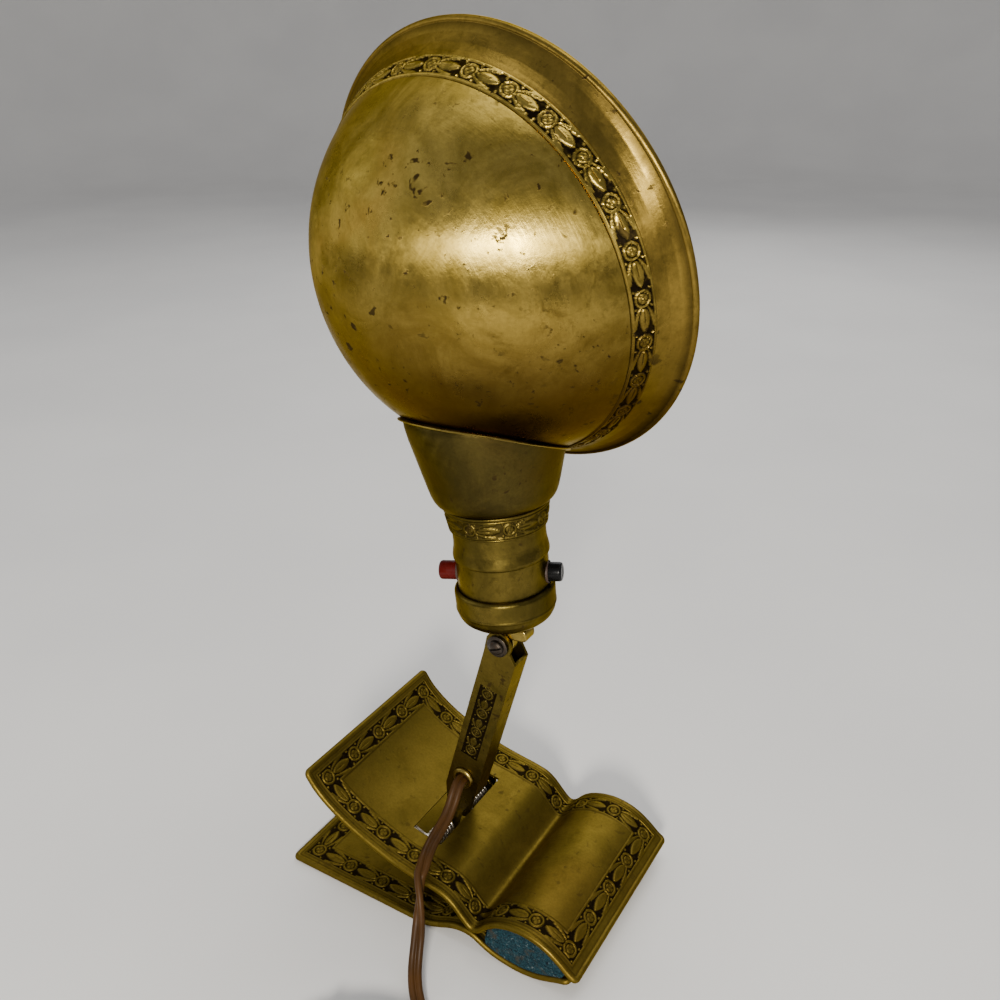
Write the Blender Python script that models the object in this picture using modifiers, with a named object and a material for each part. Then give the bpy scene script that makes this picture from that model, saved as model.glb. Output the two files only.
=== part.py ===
"""Clamp-on reading lamp: stamped brass spring clamp, channel arm, push socket and domed shade.

Metres, +Z up. The clamp rests on z = 0 and the jaws point along +X. The origin is in the middle
of the lower handle's folded edge, and the hinge pin runs along Y through (HANDLE_REACH, 0, HINGE_Z).
All parts are posed as the lamp stands, and their sizes are measured from the pin's place on z = 0.
"""
import math

import bmesh
import bpy
from mathutils import Matrix, Vector

MM = 0.001
GAP = 0.3            # clearance between neighbouring solids, mm

# ---- driving dimensions, in millimetres ----
HINGE_Z = 18.5       # height of the clamp's hinge pin
HANDLE_REACH = 56.0  # from the origin, in the handle's folded edge, to the hinge pin
PLATE_HALF = 41.5    # half of the plates' width
SHEET = 1.1          # brass sheet thickness
HEM = 2.0            # thickness of the folded edge of a plate
HEM_WIDTH = 2.8
SLOT_X = (-5.7, 7.5)  # slot in both plates, under the arm
SLOT_HALF = 22.5
EAR_RADIUS = 5.0
PIN_RADIUS = 1.5
PIN_HOLE = 1.85
UPPER_EAR_Y = 23.6   # outer face of the upper plate's ears is at this + half a sheet
LOWER_EAR_Y = 21.2

ARM_TILT = math.radians(15.5)
ARM_HALF_WIDTH = 6.85
ARM_HALF_DEPTH = 5.0
ARM_WALL = 1.1
ARM_PIVOT = 99.3     # from the hinge pin up to the knuckle screw, along the arm
ARM_PIVOT_OFFSET = -1.9
GROMMET_UP = 28.2
WEB_LOW = 21.0
WEB_TOP = 94.5

HEAD_TILT = math.radians(-5.5)
SOCKET_OFFSET = 2.4  # socket's axis from the knuckle screw, across the tilt
SWITCH_UP = 29.0
SWITCH_TURN = math.radians(18.5)
SHELL_RADIUS = 16.6
CAP_RADIUS = 18.25
BUTTON_RADIUS = 3.5
RED_END = 23.6       # outer ends of the two buttons, from the socket's axis
BLACK_END = 21.6

SHADE_UP = 133.9     # where the shade's axis crosses the socket's axis
SHADE_AHEAD = 22.2   # dome's centre from that crossing, along the shade's axis
SHADE_TURN = math.radians(79.0)
SHADE_LIFT = math.radians(13.5)
DOME_RADIUS = 67.7
DOME_WALL = 1.2
BAND_LOW = -25.7     # ornament band and mouth, along the shade's axis from the dome's centre
BAND_HIGH = -18.7
FLARE_RADIUS = 71.4
FLARE_END = -9.8
MOUTH = -7.5
MOUTH_RADIUS = 74.1

CORD_RADIUS = 2.0    # a round stand-in for the flat cord, with the same section area
COIL_CENTRE = (36.2, -122.7)
COIL_INNER = 20.7
COIL_OUTER = 37.3
COIL_BOTTOM = 0.9
COIL_TOP = 9.8
COIL_LEAVE = math.radians(-100.0)  # where the cord leaves the coil for the plug
COIL_LAST_TURN = 34.5

PIN = Vector((0.0, 0.0, HINGE_Z))

BRASS = (0.33, 0.25, 0.07)
COLOURS = {
    "brass": (BRASS, 0.38, 1.0),
    "steel": ((0.30, 0.28, 0.26), 0.4, 1.0),
    "dark_steel": ((0.05, 0.045, 0.04), 0.45, 1.0),
    "felt": ((0.06, 0.17, 0.21), 0.95, 0.0),
    "brown_vinyl": ((0.16, 0.07, 0.03), 0.5, 0.0),
    "red_button": ((0.42, 0.02, 0.015), 0.3, 0.0),
    "black_button": ((0.012, 0.012, 0.012), 0.25, 0.0),
    "phenolic": ((0.035, 0.02, 0.014), 0.6, 0.0),
    "fibre": ((0.32, 0.27, 0.2), 0.9, 0.0),
    "bulb_glass": ((0.9, 0.88, 0.82), 0.35, 0.0),
    "nickel": ((0.6, 0.58, 0.53), 0.3, 1.0),
}


def clear_scene():
    for obj in list(bpy.data.objects):
        bpy.data.objects.remove(obj, do_unlink=True)


def make_collection(name):
    collection = bpy.data.collections.new(name)
    bpy.context.scene.collection.children.link(collection)
    return collection


def make_material(name):
    colour, roughness, metallic = COLOURS[name]
    material = bpy.data.materials.new(name)
    material.use_nodes = True
    shader = material.node_tree.nodes["Principled BSDF"]
    shader.inputs["Base Color"].default_value = (*colour, 1.0)
    shader.inputs["Roughness"].default_value = roughness
    shader.inputs["Metallic"].default_value = metallic
    return material


def add_object(name, data, finish=None, parent=None, collection=None):
    obj = bpy.data.objects.new(name, data)
    (collection or PARTS).objects.link(obj)
    if finish:
        data.materials.append(MATERIALS[finish])
    if parent:
        obj.parent = parent
    return obj


def add_empty(name, location, rotation=(0.0, 0.0, 0.0), parent=None):
    empty = bpy.data.objects.new(name, None)
    PARTS.objects.link(empty)
    empty.location = Vector(location) * MM
    empty.rotation_euler = rotation
    empty.parent = parent
    return empty


def place(obj, location=(0.0, 0.0, 0.0), rotation=(0.0, 0.0, 0.0)):
    obj.location = Vector(location) * MM
    obj.rotation_euler = rotation
    return obj


def world_matrix(obj):
    bpy.context.view_layer.update()
    return obj.matrix_world.copy()


# ---- shapes ----
def arc(centre, radius, start, end, count):
    """Points on a circle, both ends included; angles in degrees."""
    points = []
    for step in range(count + 1):
        angle = math.radians(start + (end - start) * step / count)
        points.append((centre[0] + radius * math.cos(angle), centre[1] + radius * math.sin(angle)))
    return points


def turned(name, profile, finish, parent, ring=True, steps=32, collection=None):
    """A (radius, height) profile turned about local Z. It runs down the outer side."""
    mesh = bpy.data.meshes.new(name)
    verts = [(r * MM, 0.0, z * MM) for r, z in profile]
    edges = [(i, i + 1) for i in range(len(verts) - 1)]
    if ring:
        edges.append((len(verts) - 1, 0))
    mesh.from_pydata(verts, edges, [])
    obj = add_object(name, mesh, finish, parent, collection)
    screw = obj.modifiers.new("Turn", "SCREW")
    screw.axis = "Z"
    screw.steps = steps
    screw.render_steps = steps
    screw.use_merge_vertices = True
    screw.merge_threshold = 0.00001
    return obj


def extruded(name, outline, half_depth, finish, parent, collection=None):
    """A closed flat outline in local XY, extruded both ways along local Z."""
    curve = bpy.data.curves.new(name, "CURVE")
    curve.dimensions = "2D"
    curve.fill_mode = "BOTH"
    curve.extrude = half_depth * MM
    spline = curve.splines.new("POLY")
    spline.points.add(len(outline) - 1)
    for point, (x, y) in zip(spline.points, outline):
        point.co = (x * MM, y * MM, 0.0, 1.0)
    spline.use_cyclic_u = True
    return add_object(name, curve, finish, parent, collection)


def tube(name, points, radius, finish, parent, resolution=2):
    curve = bpy.data.curves.new(name, "CURVE")
    curve.dimensions = "3D"
    curve.bevel_depth = radius * MM
    curve.bevel_resolution = resolution
    curve.use_fill_caps = True
    spline = curve.splines.new("POLY")
    spline.points.add(len(points) - 1)
    for point, place_ in zip(spline.points, points):
        point.co = (*(Vector(place_) * MM), 1.0)
    return add_object(name, curve, finish, parent)


def box(name, low, high, finish, parent, collection=None):
    mesh = bpy.data.meshes.new(name)
    bm = bmesh.new()
    bmesh.ops.create_cube(bm, size=1.0)
    size = Vector(high) - Vector(low)
    middle = (Vector(high) + Vector(low)) / 2.0
    bmesh.ops.scale(bm, vec=size * MM, verts=bm.verts)
    bmesh.ops.translate(bm, vec=middle * MM, verts=bm.verts)
    bm.to_mesh(mesh)
    bm.free()
    return add_object(name, mesh, finish, parent, collection)


def cylinder(name, start, end, radius, finish, parent, steps=24, collection=None):
    """A cylinder between two points of the parent's frame."""
    mesh = bpy.data.meshes.new(name)
    along = Vector(end) - Vector(start)
    turn = along.to_track_quat("Z", "Y").to_matrix().to_4x4()
    matrix = Matrix.Translation((Vector(start) + Vector(end)) * 0.5 * MM) @ turn
    bm = bmesh.new()
    bmesh.ops.create_cone(bm, cap_ends=True, segments=steps, radius1=radius * MM,
                          radius2=radius * MM, depth=along.length * MM, matrix=matrix)
    bm.to_mesh(mesh)
    bm.free()
    return add_object(name, mesh, finish, parent, collection)


def as_mesh(obj):
    """Replace an object by the plain mesh that it evaluates to, in the same place."""
    bpy.context.view_layer.update()
    evaluated = obj.evaluated_get(bpy.context.evaluated_depsgraph_get())
    mesh = bpy.data.meshes.new_from_object(evaluated)
    bm = bmesh.new()
    bm.from_mesh(mesh)
    bmesh.ops.remove_doubles(bm, verts=bm.verts, dist=0.000005)
    bm.to_mesh(mesh)
    bm.free()
    name, parent, local = obj.name, obj.parent, obj.matrix_local.copy()
    collection = obj.users_collection[0]
    bpy.data.objects.remove(obj, do_unlink=True)
    plain = bpy.data.objects.new(name, mesh)
    collection.objects.link(plain)
    plain.parent = parent
    plain.matrix_local = local
    return plain


def boolean(obj, tool, operation):
    """Cut or join obj with tool, which stays as a hidden guide in the cutters' collection."""
    tool.hide_render = True
    tool.display_type = "WIRE"
    if tool.name in PARTS.objects:
        PARTS.objects.unlink(tool)
        CUTTERS.objects.link(tool)
    modifier = obj.modifiers.new(operation.title(), "BOOLEAN")
    modifier.operation = operation
    modifier.object = tool
    return obj


def cut(obj, *tools):
    for tool in tools:
        boolean(obj, tool, "DIFFERENCE")
    return obj


def join(obj, *tools):
    for tool in tools:
        boolean(obj, tool, "UNION")
    return obj


def smooth_route(points, spacing):
    """Points along a Catmull-Rom curve through the given ones, about spacing apart."""
    ends = [points[0] * 2 - points[1]] + points + [points[-1] * 2 - points[-2]]
    fine = []
    for i in range(1, len(ends) - 2):
        a, b, c, d = ends[i - 1:i + 3]
        for step in range(12):
            t = step / 12.0
            fine.append(0.5 * (2 * b + (c - a) * t + (2 * a - 5 * b + 4 * c - d) * t * t
                               + (3 * b - a - 3 * c + d) * t ** 3))
    fine.append(points[-1])
    total = sum((q - p).length for p, q in zip(fine, fine[1:]))
    count = max(2, round(total / spacing))
    route, walked, target = [fine[0]], 0.0, total / count
    for p, q in zip(fine, fine[1:]):
        step = (q - p).length
        while walked + step >= target * len(route) - 1e-6 and len(route) < count:
            route.append(p.lerp(q, (target * len(route) - walked) / step))
        walked += step
    route.append(fine[-1])
    return route


# ---- clamp plates ----
def upper_profile():
    """Top face of the upper plate from handle to jaw tip, as (x, z)."""
    handle = [(-44.0, 53.0), (-39.6, 46.5), (-34.2, 41.4), (-27.6, 36.9), (-20.0, 32.9)]
    deck = [(-12.0, 29.6), (-4.5, 26.9), (0.0, 25.7), (7.5, 24.3), (16.0, 22.9), (21.5, 21.4)]
    throat = [(25.6, 18.6), (29.0, 14.9), (32.2, 11.6), (34.2, 10.9), (36.4, 12.2)]
    hump = [(39.8, 16.0), (44.0, 18.9), (49.6, 20.9), (55.6, 21.5), (61.4, 20.6),
            (66.4, 18.5), (71.0, 15.3), (75.2, 11.6), (79.0, 9.3)]
    return handle + deck + throat + hump


def lower_profile():
    """Top face of the lower plate from handle to jaw tip, as (x, z)."""
    handle = [(-57.3, HEM), (-32.0, HEM), (-14.0, HEM), (8.0, HEM)]
    throat = [(13.0, 2.5), (17.4, 4.2), (21.6, 6.3), (26.0, 7.9), (30.5, 8.4), (34.5, 7.6)]
    hump = [(38.5, 5.4), (43.0, 3.5), (49.0, 2.3), (55.0, HEM), (61.0, 2.8), (66.5, 4.7),
            (71.0, 6.6), (75.0, 7.7)]
    return handle + throat + hump


def plate(name, profile, parent):
    """A sheet bent along the profile, thicker along its folded long edges and ends."""
    origin = Vector((0.0, 0.0, HINGE_Z))
    hem_line = PLATE_HALF - HEM_WIDTH
    across = [-PLATE_HALF, -hem_line, -hem_line + 0.2, hem_line - 0.2, hem_line, PLATE_HALF]
    rows = []
    first, last = Vector(profile[0]), Vector(profile[-1])
    ahead = (Vector(profile[1]) - first).normalized()
    behind = (Vector(profile[-2]) - last).normalized()
    stations = [first, first + ahead * HEM_WIDTH, first + ahead * (HEM_WIDTH + 0.2)]
    stations += profile[1:-1]
    stations += [last + behind * (HEM_WIDTH + 0.2), last + behind * HEM_WIDTH, last]
    mesh = bpy.data.meshes.new(name)
    bm = bmesh.new()
    for x, z in stations:
        rows.append([bm.verts.new((Vector((x, y, z)) - origin) * MM) for y in across])
    for low, high in zip(rows, rows[1:]):
        for i in range(len(across) - 1):
            bm.faces.new((low[i], high[i], high[i + 1], low[i + 1]))
    bmesh.ops.recalc_face_normals(bm, faces=bm.faces)
    bm.faces.ensure_lookup_table()
    if bm.faces[0].normal.z < 0:
        bmesh.ops.reverse_faces(bm, faces=bm.faces)
    bm.to_mesh(mesh)
    bm.free()
    obj = add_object(name, mesh, "brass", parent)
    hem = obj.vertex_groups.new(name="hem")
    width = len(across)
    for row in range(len(stations)):
        for column in range(width):
            at_end = row in (0, 1, len(stations) - 2, len(stations) - 1)
            at_edge = column in (0, 1, width - 2, width - 1)
            weight = 1.0 if (at_end or at_edge) else SHEET / HEM
            hem.add([row * width + column], weight, "REPLACE")
    solid = obj.modifiers.new("Sheet", "SOLIDIFY")
    solid.thickness = HEM * MM
    solid.offset = -1.0
    solid.use_even_offset = False
    solid.vertex_group = "hem"
    return obj


def ear_outline(reach):
    """Rounded lug in the XZ plane about the pin; reach is signed, toward its plate."""
    rim = arc((0.0, 0.0), EAR_RADIUS, 180.0, 0.0, 10)
    if reach > 0:
        rim = arc((0.0, 0.0), EAR_RADIUS, -180.0, 0.0, 10)
    return rim + [(EAR_RADIUS, reach), (-EAR_RADIUS, reach)]


def add_ears(plate_obj, ear_y, reach, parent):
    """Two lugs bent out of the plate at the slot's ends, both drilled for the pin."""
    side_view = (math.pi / 2.0, 0.0, 0.0)
    for side in (-1.0, 1.0):
        name = f"{plate_obj.name}_ear_{'near' if side < 0 else 'far'}"
        ear = extruded(name, ear_outline(reach), SHEET / 2.0, "brass", parent)
        place(ear, (0.0, side * ear_y, 0.0), side_view)
        join(plate_obj, as_mesh(ear))
    drill = cylinder(f"{plate_obj.name}_drill", (0, -30, 0), (0, 30, 0), PIN_HOLE, None, parent)
    cut(plate_obj, drill)


def build_lower_jaw(parent):
    lower = plate("lower_plate", lower_profile(), parent)
    slot = box("lower_slot", (SLOT_X[0], -SLOT_HALF + 1.9, -30), (SLOT_X[1], SLOT_HALF - 1.9, 0),
               None, parent)
    cut(lower, slot)
    add_ears(lower, LOWER_EAR_Y, 2.0 - HINGE_Z, parent)
    build_felt("felt_lower", lower_profile(), 38.6, 73.0, 9.2, GAP, parent)
    build_pin(parent)


def build_upper_jaw(parent):
    upper = plate("upper_plate", upper_profile(), parent)
    slot = box("upper_slot", (SLOT_X[0], -SLOT_HALF, 0), (SLOT_X[1], SLOT_HALF, 30), None, parent)
    cut(upper, slot)
    add_ears(upper, UPPER_EAR_Y, 25.2 - HINGE_Z, parent)
    build_felt("felt_upper", upper_profile(), 40.4, 71.6, 9.8, -HEM - GAP, parent)


def offset(profile, distance):
    """The profile moved by distance to its left side, seen from its start to its end."""
    moved = []
    last = len(profile) - 1
    for i, (x, z) in enumerate(profile):
        before = Vector(profile[max(i - 1, 0)])
        after = Vector(profile[min(i + 1, last)])
        along = (after - before).normalized()
        moved.append((x - along.y * distance, z + along.x * distance))
    return moved


def build_felt(name, profile, start, end, flat, clearance, parent):
    """Lens-shaped pad that fills one jaw's hump up to its flat face; clearance is signed."""
    spare = 0.9
    side = 1.0 if clearance < 0 else -1.0
    curve = [(x, z) for x, z in offset(profile, clearance) if start < x < end]
    curve = [(x, z) for x, z in curve if (z - flat) * side > spare]
    outline = [(start, flat)] + curve + [(end, flat)]
    outline = [(x, z - HINGE_Z) for x, z in outline]
    pad = extruded(name, outline, PLATE_HALF - 1.0, "felt", parent)
    place(pad, rotation=(math.pi / 2.0, 0.0, 0.0))


def build_pin(parent):
    shank = PIN_RADIUS
    reach = UPPER_EAR_Y + SHEET / 2.0 + GAP
    head = [(0.0, reach + 1.5), (1.5, reach + 1.3), (2.6, reach + 0.6), (2.6, reach)]
    profile = head + [(shank, reach), (shank, -reach)]
    profile += [(r, -z) for r, z in reversed(head)]
    pin = turned("hinge_pin", profile, "steel", parent, ring=False, steps=20)
    place(pin, rotation=(math.pi / 2.0, 0.0, 0.0))


# ---- springs ----
def coil_points(start_y, end_y, turns, radius, first_angle):
    points = []
    steps = turns * 12
    for i in range(steps + 1):
        angle = math.radians(first_angle) + 2.0 * math.pi * i / 12.0
        y = start_y + (end_y - start_y) * i / steps
        points.append((radius * math.cos(angle), y, radius * math.sin(angle)))
    return points


def build_springs(upper, lower):
    """Two torsion springs on the pin, one leg each: up to the upper plate, down to the lower."""
    radius, wire, turns = 3.2, 0.6, 7
    coil = coil_points(-19.4, -7.2, turns, radius, 90.0)
    leg = [(-17.0, -19.7, 10.6), (-9.0, -19.7, 6.9), (-3.2, -19.7, 4.1)]
    tube("spring_near", leg + coil, wire, "steel", upper)
    coil = coil_points(7.2, 19.4, turns, radius, -90.0)
    leg = [(-3.2, 19.7, -4.4), (-9.0, 19.7, -9.0), (-17.0, 19.7, -14.2)]
    tube("spring_far", coil + leg, wire, "steel", lower)


# ---- arm ----
def arm_outline():
    """Side wall of the arm as (across, up) about the hinge pin."""
    ear = 3.75
    outline = arc((0.0, 0.0), ear, -180.0, 0.0, 10)
    outline += [(ear, 9.5), (ARM_HALF_WIDTH, 20.0), (ARM_HALF_WIDTH, WEB_TOP)]
    lobe = arc((ARM_PIVOT_OFFSET, ARM_PIVOT), 5.5, -12.0, 168.0, 12)
    outline += lobe + [(-ARM_HALF_WIDTH, 94.0), (-ARM_HALF_WIDTH, 20.0), (-ear, 9.5)]
    return outline


def build_arm(parent):
    side_view = (math.pi / 2.0, 0.0, 0.0)
    wall_y = ARM_HALF_DEPTH - ARM_WALL / 2.0
    walls = []
    for side, name in ((-1.0, "arm_channel"), (1.0, "arm_far_wall")):
        wall = extruded(name, arm_outline(), ARM_WALL / 2.0, "brass", parent)
        place(wall, (0.0, side * wall_y, 0.0), side_view)
        walls.append(as_mesh(wall))
    web = box("arm_web", (ARM_HALF_WIDTH - ARM_WALL, -ARM_HALF_DEPTH, WEB_LOW),
              (ARM_HALF_WIDTH, ARM_HALF_DEPTH, WEB_TOP), None, parent)
    arm = join(walls[0], web, walls[1])
    grommet_hole = cylinder("grommet_hole", (0, -9, GROMMET_UP), (0, -2, GROMMET_UP), 3.75,
                            None, parent)
    pin_hole = cylinder("arm_pin_hole", (0, -9, 0), (0, 9, 0), PIN_HOLE, None, parent)
    screw_x, screw_z = ARM_PIVOT_OFFSET, ARM_PIVOT
    screw_hole = cylinder("arm_screw_hole", (screw_x, -9, screw_z), (screw_x, 9, screw_z), 2.35,
                          None, parent)
    cut(arm, grommet_hole, pin_hole, screw_hole)
    build_grommet(parent)
    bend = 4.4
    wall_in = ARM_HALF_DEPTH - ARM_WALL - 0.9
    turn = arc((-wall_in, GROMMET_UP + bend), bend, 0.0, -90.0, 6)
    wire = [(0.0, bend - wall_in, 91.0), (0.0, bend - wall_in, 60.0)]
    wire += [(0.0, y, up) for y, up in turn]
    wire.append((0.0, -ARM_HALF_DEPTH - 1.2, GROMMET_UP))
    tube("arm_wire", wire, CORD_RADIUS, "brown_vinyl", parent)


def build_grommet(parent):
    outer_face = ARM_HALF_DEPTH + 1.5
    inner_face = ARM_HALF_DEPTH - ARM_WALL - 0.9
    wall_out = ARM_HALF_DEPTH + GAP
    wall_in = ARM_HALF_DEPTH - ARM_WALL - GAP
    profile = [(3.3, outer_face), (4.1, outer_face), (4.7, outer_face - 0.5), (4.7, wall_out),
               (3.45, wall_out), (3.45, wall_in), (4.1, wall_in), (4.1, inner_face),
               (3.1, inner_face), (2.95, inner_face + 0.6), (2.95, outer_face - 0.5)]
    ring = turned("cord_grommet", profile, "brass", parent, steps=28)
    place(ring, (0.0, 0.0, GROMMET_UP), (math.pi / 2.0, 0.0, 0.0))


def build_knuckle_fasteners(parent):
    """Screw, washer and nut through the arm's top; local Y is the screw's axis."""
    wall = ARM_HALF_DEPTH
    head = [(0.0, wall + 3.3), (1.5, wall + 3.1), (2.6, wall + 2.4), (3.0, wall + 1.7),
            (3.0, wall + 1.4)]
    profile = head + [(2.0, wall + 1.4), (2.0, -wall - 4.0), (1.5, -wall - 4.5), (0.0, -wall - 4.5)]
    screw = turned("knuckle_screw", profile, "dark_steel", parent, ring=False, steps=24)
    place(screw, rotation=(math.pi / 2.0, 0.0, 0.0))
    washer = [(4.3, wall + 1.1), (4.3, wall + GAP), (2.35, wall + GAP), (2.35, wall + 1.1)]
    place(turned("knuckle_washer", washer, "dark_steel", parent, steps=28),
          rotation=(math.pi / 2.0, 0.0, 0.0))
    nut = [(4.1, -wall - GAP), (4.1, -wall - 3.0), (2.35, -wall - 3.0), (2.35, -wall - GAP)]
    place(turned("knuckle_nut", nut, "steel", parent, steps=6), rotation=(math.pi / 2.0, 0.0, 0.0))


# ---- socket ----
def build_knuckle(parent):
    """Flat tongue between the arm's walls, with the collar and nipple of the socket above it."""
    outline = arc((0.0, 0.0), 4.6, 180.0, 360.0, 12) + [(4.6, 6.8), (-4.6, 6.8)]
    tongue = extruded("knuckle", outline, 1.6, "brass", parent)
    tongue = as_mesh(place(tongue, rotation=(math.pi / 2.0, 0.0, 0.0)))
    collar = [(4.6, 14.6), (4.6, 9.4), (5.8, 9.4), (5.8, 6.2), (0.0, 6.2)]
    stem = turned("knuckle_stem", [(0.0, 14.6)] + collar, None, parent, ring=False, steps=28)
    place(stem, (SOCKET_OFFSET, 0.0, 0.0))
    lug = box("knuckle_lug", (2.0, -3.4, 2.4), (11.4, 3.4, 7.4), None, parent)
    drill = cylinder("knuckle_drill", (0, -5, 0), (0, 5, 0), 2.35, None, parent)
    cut(join(tongue, stem, lug), drill)


def build_socket(axis):
    cap = [(17.35, 23.9), (CAP_RADIUS, 23.9), (CAP_RADIUS, 16.4), (17.8, 14.6), (16.8, 12.9),
           (15.0, 11.4), (12.6, 10.4), (9.0, 9.9), (5.0, 9.8), (5.0, 10.6), (8.8, 10.7),
           (12.2, 11.2), (14.4, 12.2), (16.0, 13.6), (16.9, 15.2), (17.35, 17.0)]
    turned("socket_cap", cap, "brass", axis, steps=36)
    bushing = [(8.2, 14.2), (8.2, 12.1), (5.75, 12.1), (5.75, 14.2)]
    turned("nipple_nut", bushing, "steel", axis, steps=6)
    r = SHELL_RADIUS
    shell = [(r - 0.8, 56.3), (r, 56.3), (r, 40.5), (r + 0.45, 37.8), (r + 0.45, 36.8),
             (r, 36.4), (r, 19.2), (r - 0.8, 19.2)]
    shell = turned("socket_shell", shell, "brass", axis, steps=36)
    liner = [(15.45, 54.0), (15.45, 18.0), (14.9, 18.0), (14.9, 54.0)]
    liner = turned("shell_liner", liner, "fibre", axis, steps=28)
    body = turned("switch_body", [(0.0, 37.0), (14.3, 37.0), (14.3, 15.4), (0.0, 15.4)],
                  "phenolic", axis, ring=False, steps=28)
    switch = add_empty("switch_axis", (0.0, 0.0, SWITCH_UP), (0.0, 0.0, SWITCH_TURN), axis)
    for side in (-1.0, 1.0):
        for piece, tag in ((shell, "shell"), (liner, "liner")):
            cut(piece, cylinder(f"{tag}_button_hole_{side:+.0f}", (side * 13.0, 0, 0),
                                (side * 18.5, 0, 0), 4.0, None, switch, steps=16))
        cut(body, cylinder(f"switch_recess_{side:+.0f}", (side * 8.8, 0, 0), (side * 16.0, 0, 0),
                           4.0, None, switch, steps=16))
    cut(body, box("switch_tunnel", (-16, -2.3, -2.3), (16, 2.3, 2.3), None, switch))
    build_switch(switch)
    thread = [(13.9, 59.0), (14.1, 57.5), (13.8, 56.5)]
    rib_count = 5
    for rib in range(rib_count):
        low = 54.5 - rib * 3.2
        thread += [(14.15, low), (13.75, low - 1.6)]
    wall = 0.5
    screw_shell = thread + [(13.75, 37.4), (13.75 - wall, 37.4)]
    screw_shell += [(x - wall, z) for x, z in reversed(thread)]
    turned("screw_shell", screw_shell, "brass", axis, steps=24)
    contact = [(0.0, 39.6), (3.6, 39.3), (4.2, 38.4), (4.2, 37.4), (0.0, 37.4)]
    turned("centre_contact", contact, "brass", axis, ring=False, steps=16)
    build_bulb(axis)


def build_switch(switch):
    """Push-through switch: one sliding bar with a button on each end."""
    button_start = 12.6
    box("switch_bar", (-button_start + GAP, -2.0, -2.0), (button_start - GAP, 2.0, 2.0),
        "phenolic", switch)
    for name, side, end in (("red_button", -1.0, RED_END), ("black_button", 1.0, BLACK_END)):
        r = BUTTON_RADIUS
        profile = [(0.0, end), (r - 0.7, end), (r - 0.2, end - 0.2), (r, end - 0.7),
                   (r, button_start), (0.0, button_start)]
        button = turned(name, profile, name, switch, ring=False, steps=24)
        place(button, rotation=(0.0, side * math.pi / 2.0, 0.0))


def build_bulb(axis):
    base = [(0.0, 64.0), (12.4, 64.0)]
    for rib in range(5):
        low = 62.0 - rib * 3.2
        base += [(12.5, low), (12.9, low - 1.6)]
    base += [(12.2, 46.5), (6.0, 42.5), (4.2, 40.8), (0.0, 40.2)]
    turned("bulb_base", base, "nickel", axis, ring=False, steps=28)
    wall, low, middle, radius = 0.9, 64.3, 104.5, 24.0
    inside = [(0.0, middle + radius - wall)] + arc((0.0, middle), radius - wall, 78.0, -32.0, 9)
    inside += [(15.0, 84.0), (12.4, 76.0), (11.5, 68.0), (11.3, low)]
    outside = [(0.0, middle + radius)] + arc((0.0, middle), radius, 80.0, -34.0, 11)
    outside += [(15.9, 84.0), (13.3, 76.0), (12.4, 68.0), (12.2, low)]
    glass = outside + inside[::-1]
    turned("bulb_glass", glass, "bulb_glass", axis, ring=False, steps=32)


# ---- shade ----
def shade_profile():
    """Outer side of the shade from the mouth's lip down to the pole, as (radius, along axis)."""
    lip = [(MOUTH_RADIUS - 0.6, MOUTH), (MOUTH_RADIUS, MOUTH - 0.5), (MOUTH_RADIUS, MOUTH - 1.6),
           (MOUTH_RADIUS - 1.2, FLARE_END)]
    band = [(FLARE_RADIUS - 1.6, -13.4), (DOME_RADIUS + 0.2, -16.6), (66.2, BAND_HIGH),
            (64.8, -22.0), (62.8, BAND_LOW)]
    start = math.degrees(math.asin(BAND_LOW / DOME_RADIUS))
    dome = arc((0.0, 0.0), DOME_RADIUS, start - 4.0, -90.0, 12)
    return lip + band + dome


def shade_inner():
    """Inner side, from the pole up to the lip."""
    inner_radius = DOME_RADIUS - DOME_WALL
    start = math.degrees(math.asin(BAND_LOW / DOME_RADIUS))
    dome = arc((0.0, 0.0), inner_radius, -90.0, start - 4.0, 12)
    band = [(61.6, BAND_LOW), (63.6, -21.8), (64.9, BAND_HIGH + 0.2), (66.6, -16.0),
            (FLARE_RADIUS - 2.9, -12.5), (MOUTH_RADIUS - 2.4, FLARE_END + 1.0),
            (MOUTH_RADIUS - 1.6, MOUTH)]
    return dome + band


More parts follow.
